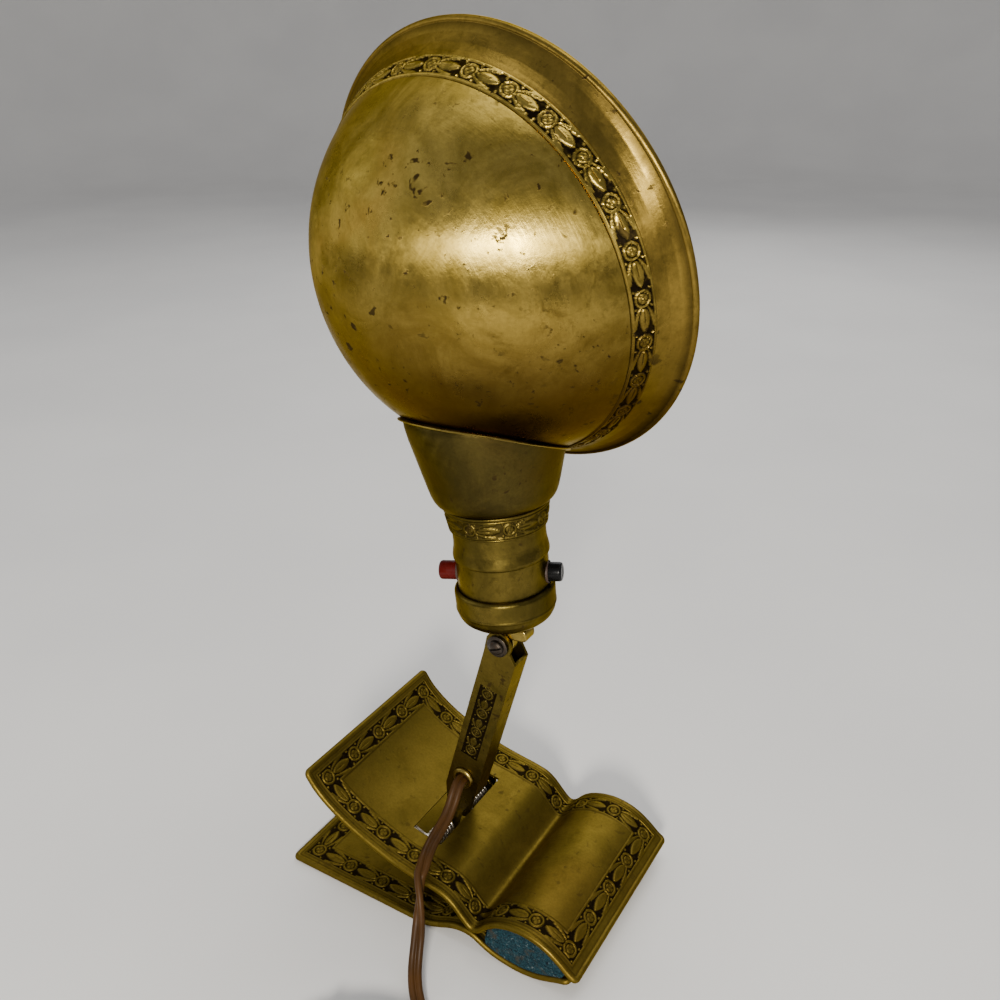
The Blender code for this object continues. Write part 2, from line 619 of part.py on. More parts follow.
def build_shade(axis):
    crossing = add_empty("shade_turn", (0.0, 0.0, SHADE_UP), (0.0, 0.0, SHADE_TURN), axis)
    lean = add_empty("shade_lean", (0.0, 0.0, 0.0), (0.0, math.pi / 2.0 - SHADE_LIFT, 0.0),
                     crossing)
    centre = add_empty("shade_centre", (0.0, 0.0, SHADE_AHEAD), parent=lean)
    shade = turned("shade_dome", shade_inner() + shade_profile(), "brass", centre, ring=False,
                   steps=48)
    mouth_hole = turned("neck_opening", [(0.0, 95.0), (25.4, 95.0), (21.5, 60.0), (0.0, 60.0)],
                        None, axis, ring=False, steps=32)
    cut(shade, mouth_hole)
    collar = [(18.3, 57.5), (18.75, 56.6), (18.5, 54.0), (17.85, 51.0), (17.5, 49.0),
              (17.3, 48.2), (16.95, 48.2), (16.95, 57.5)]
    turned("shade_collar", collar, "brass", axis, steps=36)
    outer = [(17.9, 57.8), (19.8, 58.1), (21.0, 58.9), (22.0, 60.3), (23.2, 64.6), (24.6, 70.4),
             (26.4, 78.0), (27.6, 83.0), (28.4, 87.5), (28.5, 89.5), (28.0, 91.2), (27.0, 92.4),
             (25.8, 93.0)]
    outer.reverse()
    inner = [(17.0, 57.8), (17.0, 58.7), (19.4, 59.3), (20.6, 60.5), (22.2, 65.4), (23.6, 71.0),
             (25.4, 78.4), (26.5, 83.3), (27.3, 87.6), (27.3, 89.2), (26.8, 90.6), (25.4, 91.8)]
    neck = turned("shade_neck", outer + inner, "brass", axis, steps=36)
    envelope = [(r + 0.35, z) for r, z in shade_profile()[:-1]]
    envelope.append((0.0, -DOME_RADIUS - 0.35))
    trim = turned("neck_trim", [(0.0, MOUTH + 40.0), (MOUTH_RADIUS + 0.35, MOUTH + 40.0)] + envelope,
                  None, centre, ring=False, steps=48)
    cut(neck, trim)


# ---- cord ----
def cord_over_clamp():
    """Middle of the cord from the grommet to just past the upper plate's near edge."""
    return [Vector(p) for p in (
        (7.5, -7.9, 45.4), (7.6, -9.4, 44.9), (7.9, -12.0, 42.9), (8.2, -15.5, 39.2),
        (8.4, -20.0, 35.9), (8.7, -25.0, 34.4), (9.5, -30.0, 34.0), (10.8, -35.0, 34.1),
        (12.4, -40.0, 33.8), (13.6, -43.5, 33.0), (14.0, -45.0, 32.5))]


def cord_to_coil():
    """Middle of the cord from there down to the table and along it to the coil."""
    return [Vector(p) for p in (
        (14.3, -46.2, 31.9), (15.8, -48.6, 29.6), (17.6, -51.4, 26.2), (19.0, -54.0, 21.9),
        (20.0, -56.2, 17.8), (20.9, -58.4, 13.9), (22.2, -61.6, 9.6), (24.2, -65.3, 6.0),
        (27.0, -68.9, 3.5), (30.6, -72.3, 2.3), (35.0, -76.1, 2.1), (39.8, -80.2, 2.1),
        (44.5, -84.2, 2.1))]


def build_cord(over, base):
    """Cord in lengths: over the clamp, down to the table, coil, tail, and the plug."""
    to_over = world_matrix(over).inverted() @ world_matrix(base)
    lead = smooth_route(cord_over_clamp(), 4.5)
    lead = [(to_over @ (p * MM)) / MM for p in lead]
    tube("cord_lead", lead, CORD_RADIUS, "brown_vinyl", over)
    tube("cord_run", smooth_route(cord_to_coil(), 5.0), CORD_RADIUS, "brown_vinyl", base)
    coil_axis = add_empty("coil_axis", (*COIL_CENTRE, 0.0), parent=base)
    edge = 1.4
    ring = [(COIL_OUTER - edge, COIL_TOP), (COIL_OUTER, COIL_TOP - edge),
            (COIL_OUTER, COIL_BOTTOM + edge), (COIL_OUTER - edge, COIL_BOTTOM),
            (COIL_INNER + edge, COIL_BOTTOM), (COIL_INNER, COIL_BOTTOM + edge),
            (COIL_INNER, COIL_TOP - edge), (COIL_INNER + edge, COIL_TOP)]
    turned("cord_coil", ring, "brown_vinyl", coil_axis, steps=40)
    build_tie(coil_axis)
    build_plug(base)


def build_tie(coil_axis):
    """Band round the coil's turns."""
    turn = add_empty("tie_turn", (0.0, 0.0, 0.0), (0.0, 0.0, math.radians(135.0)), coil_axis)
    wall = 0.55
    low = (COIL_INNER - GAP - wall, -2.0, COIL_BOTTOM - GAP - wall)
    high = (COIL_OUTER + GAP + wall, 2.0, COIL_TOP + GAP + wall)
    band = box("coil_tie", low, high, "black_button", turn)
    hole = box("tie_hole", (COIL_INNER - GAP, -4.0, COIL_BOTTOM - GAP),
               (COIL_OUTER + GAP, 4.0, COIL_TOP + GAP), None, turn)
    cut(band, hole)


def build_plug(base):
    """Flat moulded plug; its local X runs from the cord to the blades."""
    leave = Vector((math.cos(COIL_LEAVE), math.sin(COIL_LEAVE), 0.0))
    along = Vector((leave.y, -leave.x, 0.0))
    touch = Vector((*COIL_CENTRE, 0.0)) + leave * COIL_LAST_TURN
    tail_start, back, axis_z = 19.4, 27.4, 5.5
    first = touch + along * tail_start + Vector((0.0, 0.0, axis_z + 0.8))
    last = touch + along * (back - 2.0 * GAP) + Vector((0.0, 0.0, axis_z))
    middle = first.lerp(last, 0.5)
    middle.z = axis_z + 0.1
    tube("cord_tail", smooth_route([first, middle, last], 4.0), CORD_RADIUS, "brown_vinyl", base)
    heading = math.atan2(along.y, along.x)
    plug = add_empty("plug_axis", touch + along * back + Vector((0.0, 0.0, axis_z)),
                     (0.0, 0.0, heading), base)
    outline = [(0.0, 3.9), (5.0, 4.8), (9.0, 8.6), (13.0, 10.8), (25.0, 11.2), (26.0, 10.2)]
    outline += [(x, -y) for x, y in reversed(outline)]
    body = extruded("plug_body", outline, 5.4, "brown_vinyl", plug)
    body = as_mesh(body)
    round_edges = body.modifiers.new("Round", "BEVEL")
    round_edges.width = 1.3 * MM
    round_edges.segments = 2
    round_edges.limit_method = "ANGLE"
    for side, name in ((-1.0, "plug_blade_left"), (1.0, "plug_blade_right")):
        y = side * 6.35
        box(name, (26.3, y - 0.75, -3.2), (42.5, y + 0.75, 3.2), "nickel", plug)


clear_scene()
PARTS = make_collection("clamp_lamp")
CUTTERS = make_collection("cutters")
MATERIALS = {name: make_material(name) for name in COLOURS}

base_frame = add_empty("base_frame", (HANDLE_REACH, 0.0, 0.0))
lower_jaw = add_empty("lower_jaw", PIN, parent=base_frame)
upper_jaw = add_empty("upper_jaw", PIN, parent=base_frame)
arm_frame = add_empty("arm", PIN, (0.0, ARM_TILT, 0.0), base_frame)
knuckle_place = Vector((ARM_PIVOT_OFFSET, 0.0, ARM_PIVOT))
screw_frame = add_empty("screw_frame", knuckle_place, parent=arm_frame)
head_frame = add_empty("head", knuckle_place, (0.0, HEAD_TILT - ARM_TILT, 0.0), arm_frame)
socket_axis = add_empty("socket_axis", (SOCKET_OFFSET, 0.0, 0.0), parent=head_frame)

build_lower_jaw(lower_jaw)
build_upper_jaw(upper_jaw)
build_springs(upper_jaw, lower_jaw)
build_arm(arm_frame)
build_knuckle_fasteners(screw_frame)
build_knuckle(head_frame)
build_socket(socket_axis)
build_shade(socket_axis)
build_cord(upper_jaw, base_frame)
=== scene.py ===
import math

import bmesh
import bpy
import numpy as np
from mathutils import Matrix, Vector


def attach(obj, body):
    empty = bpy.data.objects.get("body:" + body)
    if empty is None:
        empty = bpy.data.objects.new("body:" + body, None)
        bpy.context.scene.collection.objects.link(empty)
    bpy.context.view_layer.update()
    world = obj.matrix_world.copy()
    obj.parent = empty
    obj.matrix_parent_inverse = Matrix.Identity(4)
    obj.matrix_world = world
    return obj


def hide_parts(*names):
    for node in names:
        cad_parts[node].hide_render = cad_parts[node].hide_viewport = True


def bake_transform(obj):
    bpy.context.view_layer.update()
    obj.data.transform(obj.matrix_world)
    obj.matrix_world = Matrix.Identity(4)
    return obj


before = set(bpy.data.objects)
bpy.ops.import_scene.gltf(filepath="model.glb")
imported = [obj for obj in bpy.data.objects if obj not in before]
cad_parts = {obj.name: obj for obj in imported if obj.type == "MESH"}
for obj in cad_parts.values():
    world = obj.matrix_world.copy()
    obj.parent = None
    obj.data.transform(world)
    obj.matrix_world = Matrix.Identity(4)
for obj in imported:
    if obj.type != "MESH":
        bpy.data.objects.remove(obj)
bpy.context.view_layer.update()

# Looks of the clamp-on brass lamp. Sizes are in millimetres and measured, as in the CAD part, from
# the hinge pin's place on the table: +Z up, the pin along Y at HINGE_Z, jaws toward +X. The row's
# origin is HANDLE_REACH behind the pin. MM makes metres.
MM = 0.001
HANDLE_REACH = 56.0

HINGE_Z = 18.5
PLATE_HALF = 41.5
SHEET = 1.1
HEM = 2.0
HEM_WIDTH = 2.8
SLOT_X = (-5.7, 7.5)
SLOT_HALF = 22.5
LOWER_SLOT_HALF = 20.6
EAR_RADIUS = 5.0
PIN_RADIUS = 1.5
UPPER_EAR_Y = 23.6
LOWER_EAR_Y = 21.2

ARM_TILT = math.radians(15.5)
ARM_HALF_WIDTH = 6.85
ARM_HALF_DEPTH = 5.0
ARM_WALL = 1.1
ARM_PIVOT = 99.3
ARM_PIVOT_OFFSET = -1.9
GROMMET_UP = 28.2
WEB_LOW = 21.0
WEB_TOP = 94.5

HEAD_TILT = math.radians(-5.5)
SOCKET_OFFSET = 2.4
SWITCH_UP = 29.0
SWITCH_TURN = math.radians(18.5)
SHELL_RADIUS = 16.6
CAP_RADIUS = 18.25
RED_END = 23.6
BLACK_END = 21.6

SHADE_UP = 133.9
SHADE_AHEAD = 22.2
SHADE_TURN = math.radians(79.0)
SHADE_LIFT = math.radians(13.5)
DOME_RADIUS = 67.7
DOME_WALL = 1.2
BAND_LOW = -25.7
BAND_HIGH = -18.7
MOUTH = -7.5
LIP_LINE = 72.1
MOUTH_RADIUS = 74.1
SHADE_MOTIFS = 29

CORD_WIDTH = 5.3
CORD_THICK = 2.7
COIL_CENTRE = (36.2, -122.7)
COIL_MIDDLE = 29.0
COIL_COLUMN = 5.5
COIL_ROW = 2.95
COIL_ENTER = math.radians(49.0)
COIL_LEAVE = math.radians(-100.0)
COIL_TURNS = 8


# ---- frames of the parts ----
def turn_x(angle):
    return Matrix.Rotation(angle, 4, "X")


def turn_y(angle):
    return Matrix.Rotation(angle, 4, "Y")


def turn_z(angle):
    return Matrix.Rotation(angle, 4, "Z")


def shift(x, y, z):
    return Matrix.Translation((x, y, z))


PIN_FRAME = shift(0.0, 0.0, HINGE_Z)
ARM_FRAME = PIN_FRAME @ turn_y(ARM_TILT)
SCREW_FRAME = ARM_FRAME @ shift(ARM_PIVOT_OFFSET, 0.0, ARM_PIVOT)
HEAD_FRAME = SCREW_FRAME @ turn_y(HEAD_TILT - ARM_TILT)
SOCKET_FRAME = HEAD_FRAME @ shift(SOCKET_OFFSET, 0.0, 0.0)
SWITCH_FRAME = SOCKET_FRAME @ shift(0.0, 0.0, SWITCH_UP) @ turn_z(SWITCH_TURN)
SHADE_FRAME = (SOCKET_FRAME @ shift(0.0, 0.0, SHADE_UP) @ turn_z(SHADE_TURN)
               @ turn_y(math.pi / 2.0 - SHADE_LIFT) @ shift(0.0, 0.0, SHADE_AHEAD))
ORIGIN = np.array([HANDLE_REACH, 0.0, 0.0])
ALONG_Y = turn_x(math.pi / 2.0)   # local Z becomes -Y


def metres(points):
    """Millimetres about the pin's place into metres of the row frame."""
    return ((np.asarray(points, float) + ORIGIN) * MM).tolist()


# ---- camera ----
CAMERA_AZIMUTH = math.radians(31.49)
CAMERA_DOWN = math.radians(25.16)
CAMERA_ROLL = math.radians(-0.65)
CAMERA_PLACE = Vector((185.3, -264.6, 317.3))
CAMERA_LENS = 35.5


def make_camera():
    camera = bpy.data.cameras.new("camera")
    camera.lens = CAMERA_LENS
    camera.sensor_width = 36.0
    camera.clip_start = 0.01
    obj = bpy.data.objects.new("camera", camera)
    bpy.context.scene.collection.objects.link(obj)
    turn = turn_z(CAMERA_AZIMUTH) @ turn_x(math.pi / 2.0 - CAMERA_DOWN) @ turn_z(CAMERA_ROLL)
    obj.matrix_world = Matrix.Translation(metres(CAMERA_PLACE)) @ turn
    bpy.context.scene.camera = obj


# ---- arrays ----
def unit(vectors):
    """Vectors along the last axis, made one long."""
    return vectors / np.linalg.norm(vectors, axis=-1)[..., None]


def tangents(line):
    return unit(np.gradient(line, axis=0))


def normals(line):
    """Directions square to a 2D line, on its left."""
    tangent = tangents(line)
    return np.stack([-tangent[:, 1], tangent[:, 0]], -1)


def full_turn(count):
    """Angles of count even steps round a circle."""
    return np.arange(count) * 2.0 * math.pi / count


def hexagon(radius):
    corners = [math.radians(a) for a in range(0, 360, 60)]
    return [(math.cos(a) * radius, math.sin(a) * radius) for a in corners]


def eased(share):
    return share * share * (3 - 2 * share)


def walked_along(line):
    """Distance walked to each point of a line."""
    steps = np.linalg.norm(np.diff(line, axis=0), axis=1)
    return np.concatenate([[0], np.cumsum(steps)])


# ---- mesh helpers ----
MERGE = 0.002


def new_object(name, mesh, finish):
    obj = bpy.data.objects.new(name, mesh)
    bpy.context.scene.collection.objects.link(obj)
    mesh.materials.append(finish)
    return obj


def mesh_from(name, points, faces, finish, matrix=None, patina=None, sharp=35.0):
    """An object from points in millimetres and faces as index tuples."""
    mesh = bpy.data.meshes.new(name)
    co = np.asarray(points, float).reshape(-1, 3)
    if matrix is not None:
        m = np.array(matrix)
        co = co @ m[:3, :3].T + m[:3, 3]
    mesh.from_pydata(metres(co), [], faces)
    if patina is not None:
        set_patina(mesh, patina)
    tidy(mesh, sharp)
    return new_object(name, mesh, finish)


def set_patina(mesh, values):
    """Dirt at each vertex, 0 clean and 1 dark, read by the brass."""
    layer = mesh.attributes.new("patina", "FLOAT", "POINT")
    layer.data.foreach_set("value", np.asarray(values, np.float32).ravel())


def vertices(obj):
    """Places of an object's vertices in millimetres of the row frame."""
    co = np.zeros(len(obj.data.vertices) * 3)
    obj.data.vertices.foreach_get("co", co)
    return co.reshape(-1, 3) / MM


def tidy(mesh, sharp=35.0):
    """Merge doubles, face outward, smooth all but the edges sharper than an angle."""
    bm = bmesh.new()
    bm.from_mesh(mesh)
    bmesh.ops.remove_doubles(bm, verts=bm.verts, dist=MERGE * MM)
    bmesh.ops.dissolve_degenerate(bm, edges=bm.edges, dist=MERGE * MM)
    bmesh.ops.recalc_face_normals(bm, faces=bm.faces)
    for face in bm.faces:
        face.smooth = True
    bm.to_mesh(mesh)
    bm.free()
    mesh.set_sharp_from_angle(angle=math.radians(sharp))


def grid_faces(rows, cols, wrap_rows=False, wrap_cols=False):
    i = np.arange(rows if wrap_rows else rows - 1)
    j = np.arange(cols if wrap_cols else cols - 1)
    i, j = np.meshgrid(i, j, indexing="ij")
    i2, j2 = (i + 1) % rows, (j + 1) % cols
    quads = np.stack([i * cols + j, i2 * cols + j, i2 * cols + j2, i * cols + j2], -1)
    return quads.reshape(-1, 4).tolist()


def fillet(points, radius, steps=3, closed=True):
    """Rounds the corners of a 2D outline; open outlines keep their ends."""
    points = [Vector(p) for p in points]
    count = len(points)
    out = []
    for i, corner in enumerate(points):
        if not closed and i in (0, count - 1):
            out.append(corner)
            continue
        before, after = points[i - 1], points[(i + 1) % count]
        a, b = before - corner, after - corner
        reach = min(radius, 0.45 * a.length, 0.45 * b.length)
        start, end = corner + a.normalized() * reach, corner + b.normalized() * reach
        for step in range(steps + 1):
            t = step / steps
            out.append(start * (1 - t) ** 2 + corner * 2 * t * (1 - t) + end * t * t)
    return [(p.x, p.y) for p in out]


def arc(centre, radius, start, end, count):
    points = []
    for step in range(count + 1):
        angle = math.radians(start + (end - start) * step / count)
        points.append((centre[0] + radius * math.cos(angle), centre[1] + radius * math.sin(angle)))
    return points


def lathe(name, profile, matrix, finish, steps=96, ring=True, round_by=0.2, sharp=35.0):
    """A (radius, height) outline turned about the matrix's Z axis."""
    outline = fillet(profile, round_by, closed=ring) if round_by else list(profile)
    outline = np.array(outline)
    angles = full_turn(steps)
    x = np.cos(angles)[:, None] * outline[None, :, 0]
    y = np.sin(angles)[:, None] * outline[None, :, 0]
    z = np.broadcast_to(outline[None, :, 1], x.shape)
    points = np.stack([x, y, z], -1)
    faces = grid_faces(steps, len(outline), wrap_rows=True, wrap_cols=ring)
    return mesh_from(name, points, faces, finish, matrix, sharp=sharp)


def slab(name, outline, depth, matrix, finish, bevel=0.2):
    """A flat outline in the matrix's XY plane, depth thick about it, with rounded edges."""
    count = len(outline)
    points = [(x, y, -depth / 2.0) for x, y in outline] + [(x, y, depth / 2.0) for x, y in outline]
    faces = [tuple(reversed(range(count))), tuple(range(count, 2 * count))]
    faces += [(i, (i + 1) % count, count + (i + 1) % count, count + i) for i in range(count)]
    obj = mesh_from(name, points, faces, finish, matrix)
    if bevel:
        add_bevel(obj, bevel)
    return obj


def add_bevel(obj, width, segments=3):
    """Rounds the edges sharper than 40 degrees."""
    bevel = obj.modifiers.new("edges", "BEVEL")
    bevel.width = width * MM
    bevel.segments = segments
    bevel.limit_method = "ANGLE"
    bevel.angle_limit = math.radians(40.0)
    bevel.harden_normals = True
    return obj


def block(name, low, high, matrix, finish, bevel=0.2):
    outline = [(low[0], low[1]), (high[0], low[1]), (high[0], high[1]), (low[0], high[1])]
    middle = (low[2] + high[2]) / 2.0
    return slab(name, outline, high[2] - low[2], matrix @ shift(0, 0, middle), finish, bevel)


def rod(name, start, end, radius, matrix, finish, steps=64):
    """A plain cylinder between two points of the matrix's frame."""
    start, end = Vector(start), Vector(end)
    turn = (end - start).to_track_quat("Z", "Y").to_matrix().to_4x4()
    length = (end - start).length
    return lathe(name, [(0, 0), (radius, 0), (radius, length), (0, length)],
                 matrix @ Matrix.Translation(start) @ turn, finish, steps, ring=False, round_by=0)


def drill(radius, low, high, matrix, finish, steps=48, x=0.0, y=0.0):
    """A round cutter along the matrix's Z axis."""
    return rod("t", (x, y, low), (x, y, high), radius, matrix, finish, steps)


def carve(obj, tools, operation="DIFFERENCE"):
    """Applies Booleans with tools, which are then removed."""
    for tool in tools:
        modifier = obj.modifiers.new("carve", "BOOLEAN")
        modifier.operation = operation
        modifier.solver = "EXACT"
        modifier.object = tool
        bpy.context.view_layer.update()
        done = bpy.data.meshes.new_from_object(
            obj.evaluated_get(bpy.context.evaluated_depsgraph_get()))
        obj.modifiers.clear()
        obj.data = done
        bpy.data.objects.remove(tool, do_unlink=True)
    tidy(obj.data)
    return obj


def smooth_line(points, spacing):
    """Points about spacing apart on a Catmull-Rom curve through the given ones."""
    p = np.array(points, float)
    ends = np.vstack([2 * p[0] - p[1], p, 2 * p[-1] - p[-2]])
    t = np.linspace(0, 1, 24, endpoint=False)[:, None]
    fine = []
    for a, b, c, d in zip(ends, ends[1:], ends[2:], ends[3:]):
        fine.append(0.5 * (2 * b + (c - a) * t + (2 * a - 5 * b + 4 * c - d) * t ** 2
                           + (3 * b - a - 3 * c + d) * t ** 3))
    fine = np.vstack(fine + [p[-1:]])
    return respaced(fine, spacing)


def respaced(line, spacing):
    walked = walked_along(line)
    count = max(2, round(walked[-1] / spacing))
    at = np.linspace(0, walked[-1], count + 1)
    return np.stack([np.interp(at, walked, line[:, k]) for k in range(line.shape[1])], -1)


def line_length(line):
    return float(np.linalg.norm(np.diff(line, axis=0), axis=1).sum())


def sweep(name, line, section, finish, up=(0, 0, 1), twist=None, matrix=None):
    """A closed section carried along a line; its own X stays square to up, then turns by twist."""
    line = np.asarray(line, float)
    tangent = tangents(line)
    up = np.broadcast_to(np.asarray(up, float), line.shape)
    side = unit(np.cross(tangent, up))
    over = np.cross(side, tangent)
    if twist is not None:
        c, s = np.cos(twist)[:, None], np.sin(twist)[:, None]
        side, over = side * c + over * s, over * c - side * s
    section = np.asarray(section, float)
    points = (line[:, None] + side[:, None] * section[None, :, :1]
              + over[:, None] * section[None, :, 1:2])
    rows, cols = points.shape[:2]
    faces = grid_faces(rows, cols, wrap_cols=True)
    faces += [list(reversed(range(cols))), list(range((rows - 1) * cols, rows * cols))]
    return mesh_from(name, points, faces, finish, matrix)


def transported(line, start):
    """A side direction at each point of a line, turned as little as possible along it."""
    side = np.array(start, float)
    sides = []
    for t in tangents(line):
        side = side - t * (side @ t)
        side = side / np.linalg.norm(side)
        sides.append(side.copy())
    return np.array(sides)


def wire(name, line, radius, finish, start=(0, 0, 1), sides=14, matrix=None):
    angles = full_turn(sides)
    section = np.stack([np.cos(angles), np.sin(angles)], -1) * radius
    line = np.asarray(line, float)
    return sweep(name, line, section, finish, up=transported(line, start), matrix=matrix)


def set_on(obj, body, *nodes, slot="brass"):
    """The piece rides on a body and stands for CAD nodes, which it hides; slot is not used."""
    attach(obj, body)
    if nodes:
        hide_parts(*nodes)
    return obj


# ---- relief ----
BORDER_HALF = 4.0    # half the plate's border, which the motif is drawn for


def ridge(distance, width, height):
    """A round-topped ridge, height at distance 0 and gone at width."""
    return height * np.sqrt(np.clip(1.0 - (distance / width) ** 2, 0.0, None))


def motif(s, t, pitch, scale=1.0):
    """Heights of one unit of the border: a rosette at s = 0, then a bud between two leaves."""
    s, t = s / scale, t / scale
    pitch = pitch / scale
    away = np.hypot(s, t)
    angle = np.arctan2(t, s)
    height = ridge(away - 2.6, 0.5, 0.42)
    petal = np.abs(np.cos(2.0 * angle)) ** 0.6
    height = np.maximum(height, ridge(away - 1.1, 0.72, 0.36) * (0.15 + 0.85 * petal))
    height = np.maximum(height, ridge(away, 0.42, 0.44))
    x = (s - 3.2) / (pitch - 7.0)
    y = np.abs(t)
    on = (x > 0.0) & (x < 1.0)
    x = np.clip(x, 0.0, 1.0)
    body = 2.0 * np.sin(math.pi * x ** 0.9) ** 0.62
    bud = 0.46 * np.sqrt(np.clip(1.0 - (y / np.maximum(body, 0.05)) ** 2, 0.0, None))
    slit = np.clip(1.0 - y / 0.26, 0.0, 1.0) * np.clip((x - 0.06) * 12, 0, 1) * np.clip(
        (0.72 - x) * 6, 0, 1)
    vein = np.clip(np.sin((s - 1.1 * y) * 5.2) - 0.55, 0.0, 1.0) * (y > 0.3) * (y < body - 0.4)
    height = np.maximum(height, np.where(on, bud - 0.34 * slit - 0.12 * vein, 0.0))
    run = np.clip((s - 2.8) / (pitch - 8.2), 0.0, 1.0)
    middle = 1.25 + 1.95 * np.sin(run * 1.75) ** 0.8 + 0.25 * run
    thick = 0.30 + 0.48 * np.sin(math.pi * run ** 1.4) ** 0.8
    leaf = ridge(y - middle, thick, 0.42) - 0.16 * np.clip(1.0 - np.abs(y - middle) / 0.13, 0, 1)
    height = np.maximum(height, np.where((s > 2.8) & (run < 1.0), leaf, 0.0))
    for at in (-3.0, 3.0, pitch - 3.0):
        height = np.maximum(height, ridge(np.hypot(s - at, y - 3.05), 0.5, 0.42))
    return height * scale


def border(s, t, total, count, half, margin=0.15):
    """Heights along a border of count units; s from 0 to total, t across."""
    pitch = total / count
    near = np.mod(s, pitch)
    scale = half / BORDER_HALF
    height = np.maximum(motif(near, t, pitch, scale), motif(near - pitch, t, pitch, scale))
    return np.where(np.abs(t) < half - margin, height, 0.0)


def rails(t, half):
    return np.maximum(ridge(np.abs(t) - half, 0.42, 0.34), 0.0)


def worn(height, inside, floor):
    """(surface height, patina): the ground between rails is sunk by floor and dark."""
    surface = np.where(inside, height - floor * np.clip(1.0 - height / 0.15, 0.0, 1.0), height)
    dark = np.where(inside, np.clip(1.0 - height / 0.30, 0.0, 1.0), 0.0)
    return surface, dark


# ---- materials ----
class Shader:
    """A small helper for building a node material."""

    def __init__(self, name):
        self.material = bpy.data.materials.new(name)
        self.material.use_nodes = True
        self.nodes = self.material.node_tree.nodes
        self.links = self.material.node_tree.links
        self.surface = self.nodes["Principled BSDF"]
        self.coordinates = self.nodes.new("ShaderNodeTexCoord").outputs["Object"]

    def node(self, kind, **inputs):
        node = self.nodes.new(kind)
        for key, value in inputs.items():
            self.feed(node.inputs[key.replace("_", " ")], value)
        return node

    def feed(self, socket, value):
        if isinstance(value, bpy.types.NodeSocket):
            self.links.new(value, socket)
        else:
            socket.default_value = value

    def noise(self, scale, detail=4.0, roughness=0.55, distortion=0.0, stretch=None):
        node = self.node("ShaderNodeTexNoise", Scale=scale, Detail=detail, Roughness=roughness,
                         Distortion=distortion, Vector=self.stretched(stretch))
        return node.outputs["Fac"]

    def stretched(self, stretch):
        if stretch is None:
            return self.coordinates
        mapping = self.node("ShaderNodeMapping", Vector=self.coordinates, Scale=stretch)
        return mapping.outputs["Vector"]

    def attribute(self, name):
        node = self.nodes.new("ShaderNodeAttribute")
        node.attribute_name = name
        return node.outputs["Fac"]

    def span(self, value, low, high, out_low=0.0, out_high=1.0):
        node = self.nodes.new("ShaderNodeMapRange")
        node.interpolation_type = "SMOOTHSTEP"
        for socket, v in zip(node.inputs, (value, low, high, out_low, out_high)):
            self.feed(socket, v)
        return node.outputs["Result"]

    def math(self, operation, a, b=0.0, c=0.0):
        node = self.nodes.new("ShaderNodeMath")
        node.operation = operation
        node.use_clamp = operation in ("MULTIPLY", "ADD", "MAXIMUM")
        for socket, value in zip(node.inputs, (a, b, c)):
            self.feed(socket, value)
        return node.outputs[0]

    def mix(self, share, a, b):
        node = self.nodes.new("ShaderNodeMix")
        node.data_type = "RGBA"
        self.feed(node.inputs["Factor"], share)
        for key, value in (("A", a), ("B", b)):
            socket = [s for s in node.inputs if s.name == key and s.type == "RGBA"][0]
            self.feed(socket, (*value, 1.0) if isinstance(value, tuple) else value)
        return [s for s in node.outputs if s.type == "RGBA"][0]

    def blend(self, share, a, b):
        node = self.nodes.new("ShaderNodeMix")
        self.feed(node.inputs["Factor"], share)
        self.feed(node.inputs["A"], a)
        self.feed(node.inputs["B"], b)
        return node.outputs["Result"]

    def height(self, ripple, reach):
        """Height over the table in metres, made uneven by a noise."""
        place = self.node("ShaderNodeSeparateXYZ", Vector=self.coordinates)
        return self.math("MULTIPLY_ADD", ripple, reach, place.outputs["Z"])

    def scored(self, spin):
        """Fine scratches: round the shade's axis when it was spun, else along the sheet."""
        if not spin:
            return self.noise(60.0, 3.0, 0.6, 0.0, (1.0, 14.0, 3.0))
        along = self.nodes.new("ShaderNodeVectorMath")
        along.operation = "DOT_PRODUCT"
        self.feed(along.inputs[0], self.coordinates)
        along.inputs[1].default_value = SPUN_ABOUT
        wide = self.node("ShaderNodeVectorMath", Vector=self.coordinates)
        wide.operation = "SCALE"
        wide.inputs["Scale"].default_value = 0.06
        place = self.node("ShaderNodeCombineXYZ", X=along.outputs["Value"])
        total = self.nodes.new("ShaderNodeVectorMath")
        self.feed(total.inputs[0], wide.outputs["Vector"])
        self.feed(total.inputs[1], place.outputs["Vector"])
        noise = self.node("ShaderNodeTexNoise", Scale=520.0, Detail=5.0, Roughness=0.65,
                          Vector=total.outputs["Vector"])
        return noise.outputs["Fac"]

    def bump(self, height, strength, distance, under=None):
        node = self.node("ShaderNodeBump", Strength=strength, Distance=distance, Height=height)
        if under is not None:
            self.feed(node.inputs["Normal"], under)
        return node.outputs["Normal"]

    def finish(self, **inputs):
        for key, value in inputs.items():
            self.feed(self.surface.inputs[key.replace("_", " ")], value)
        return self.material


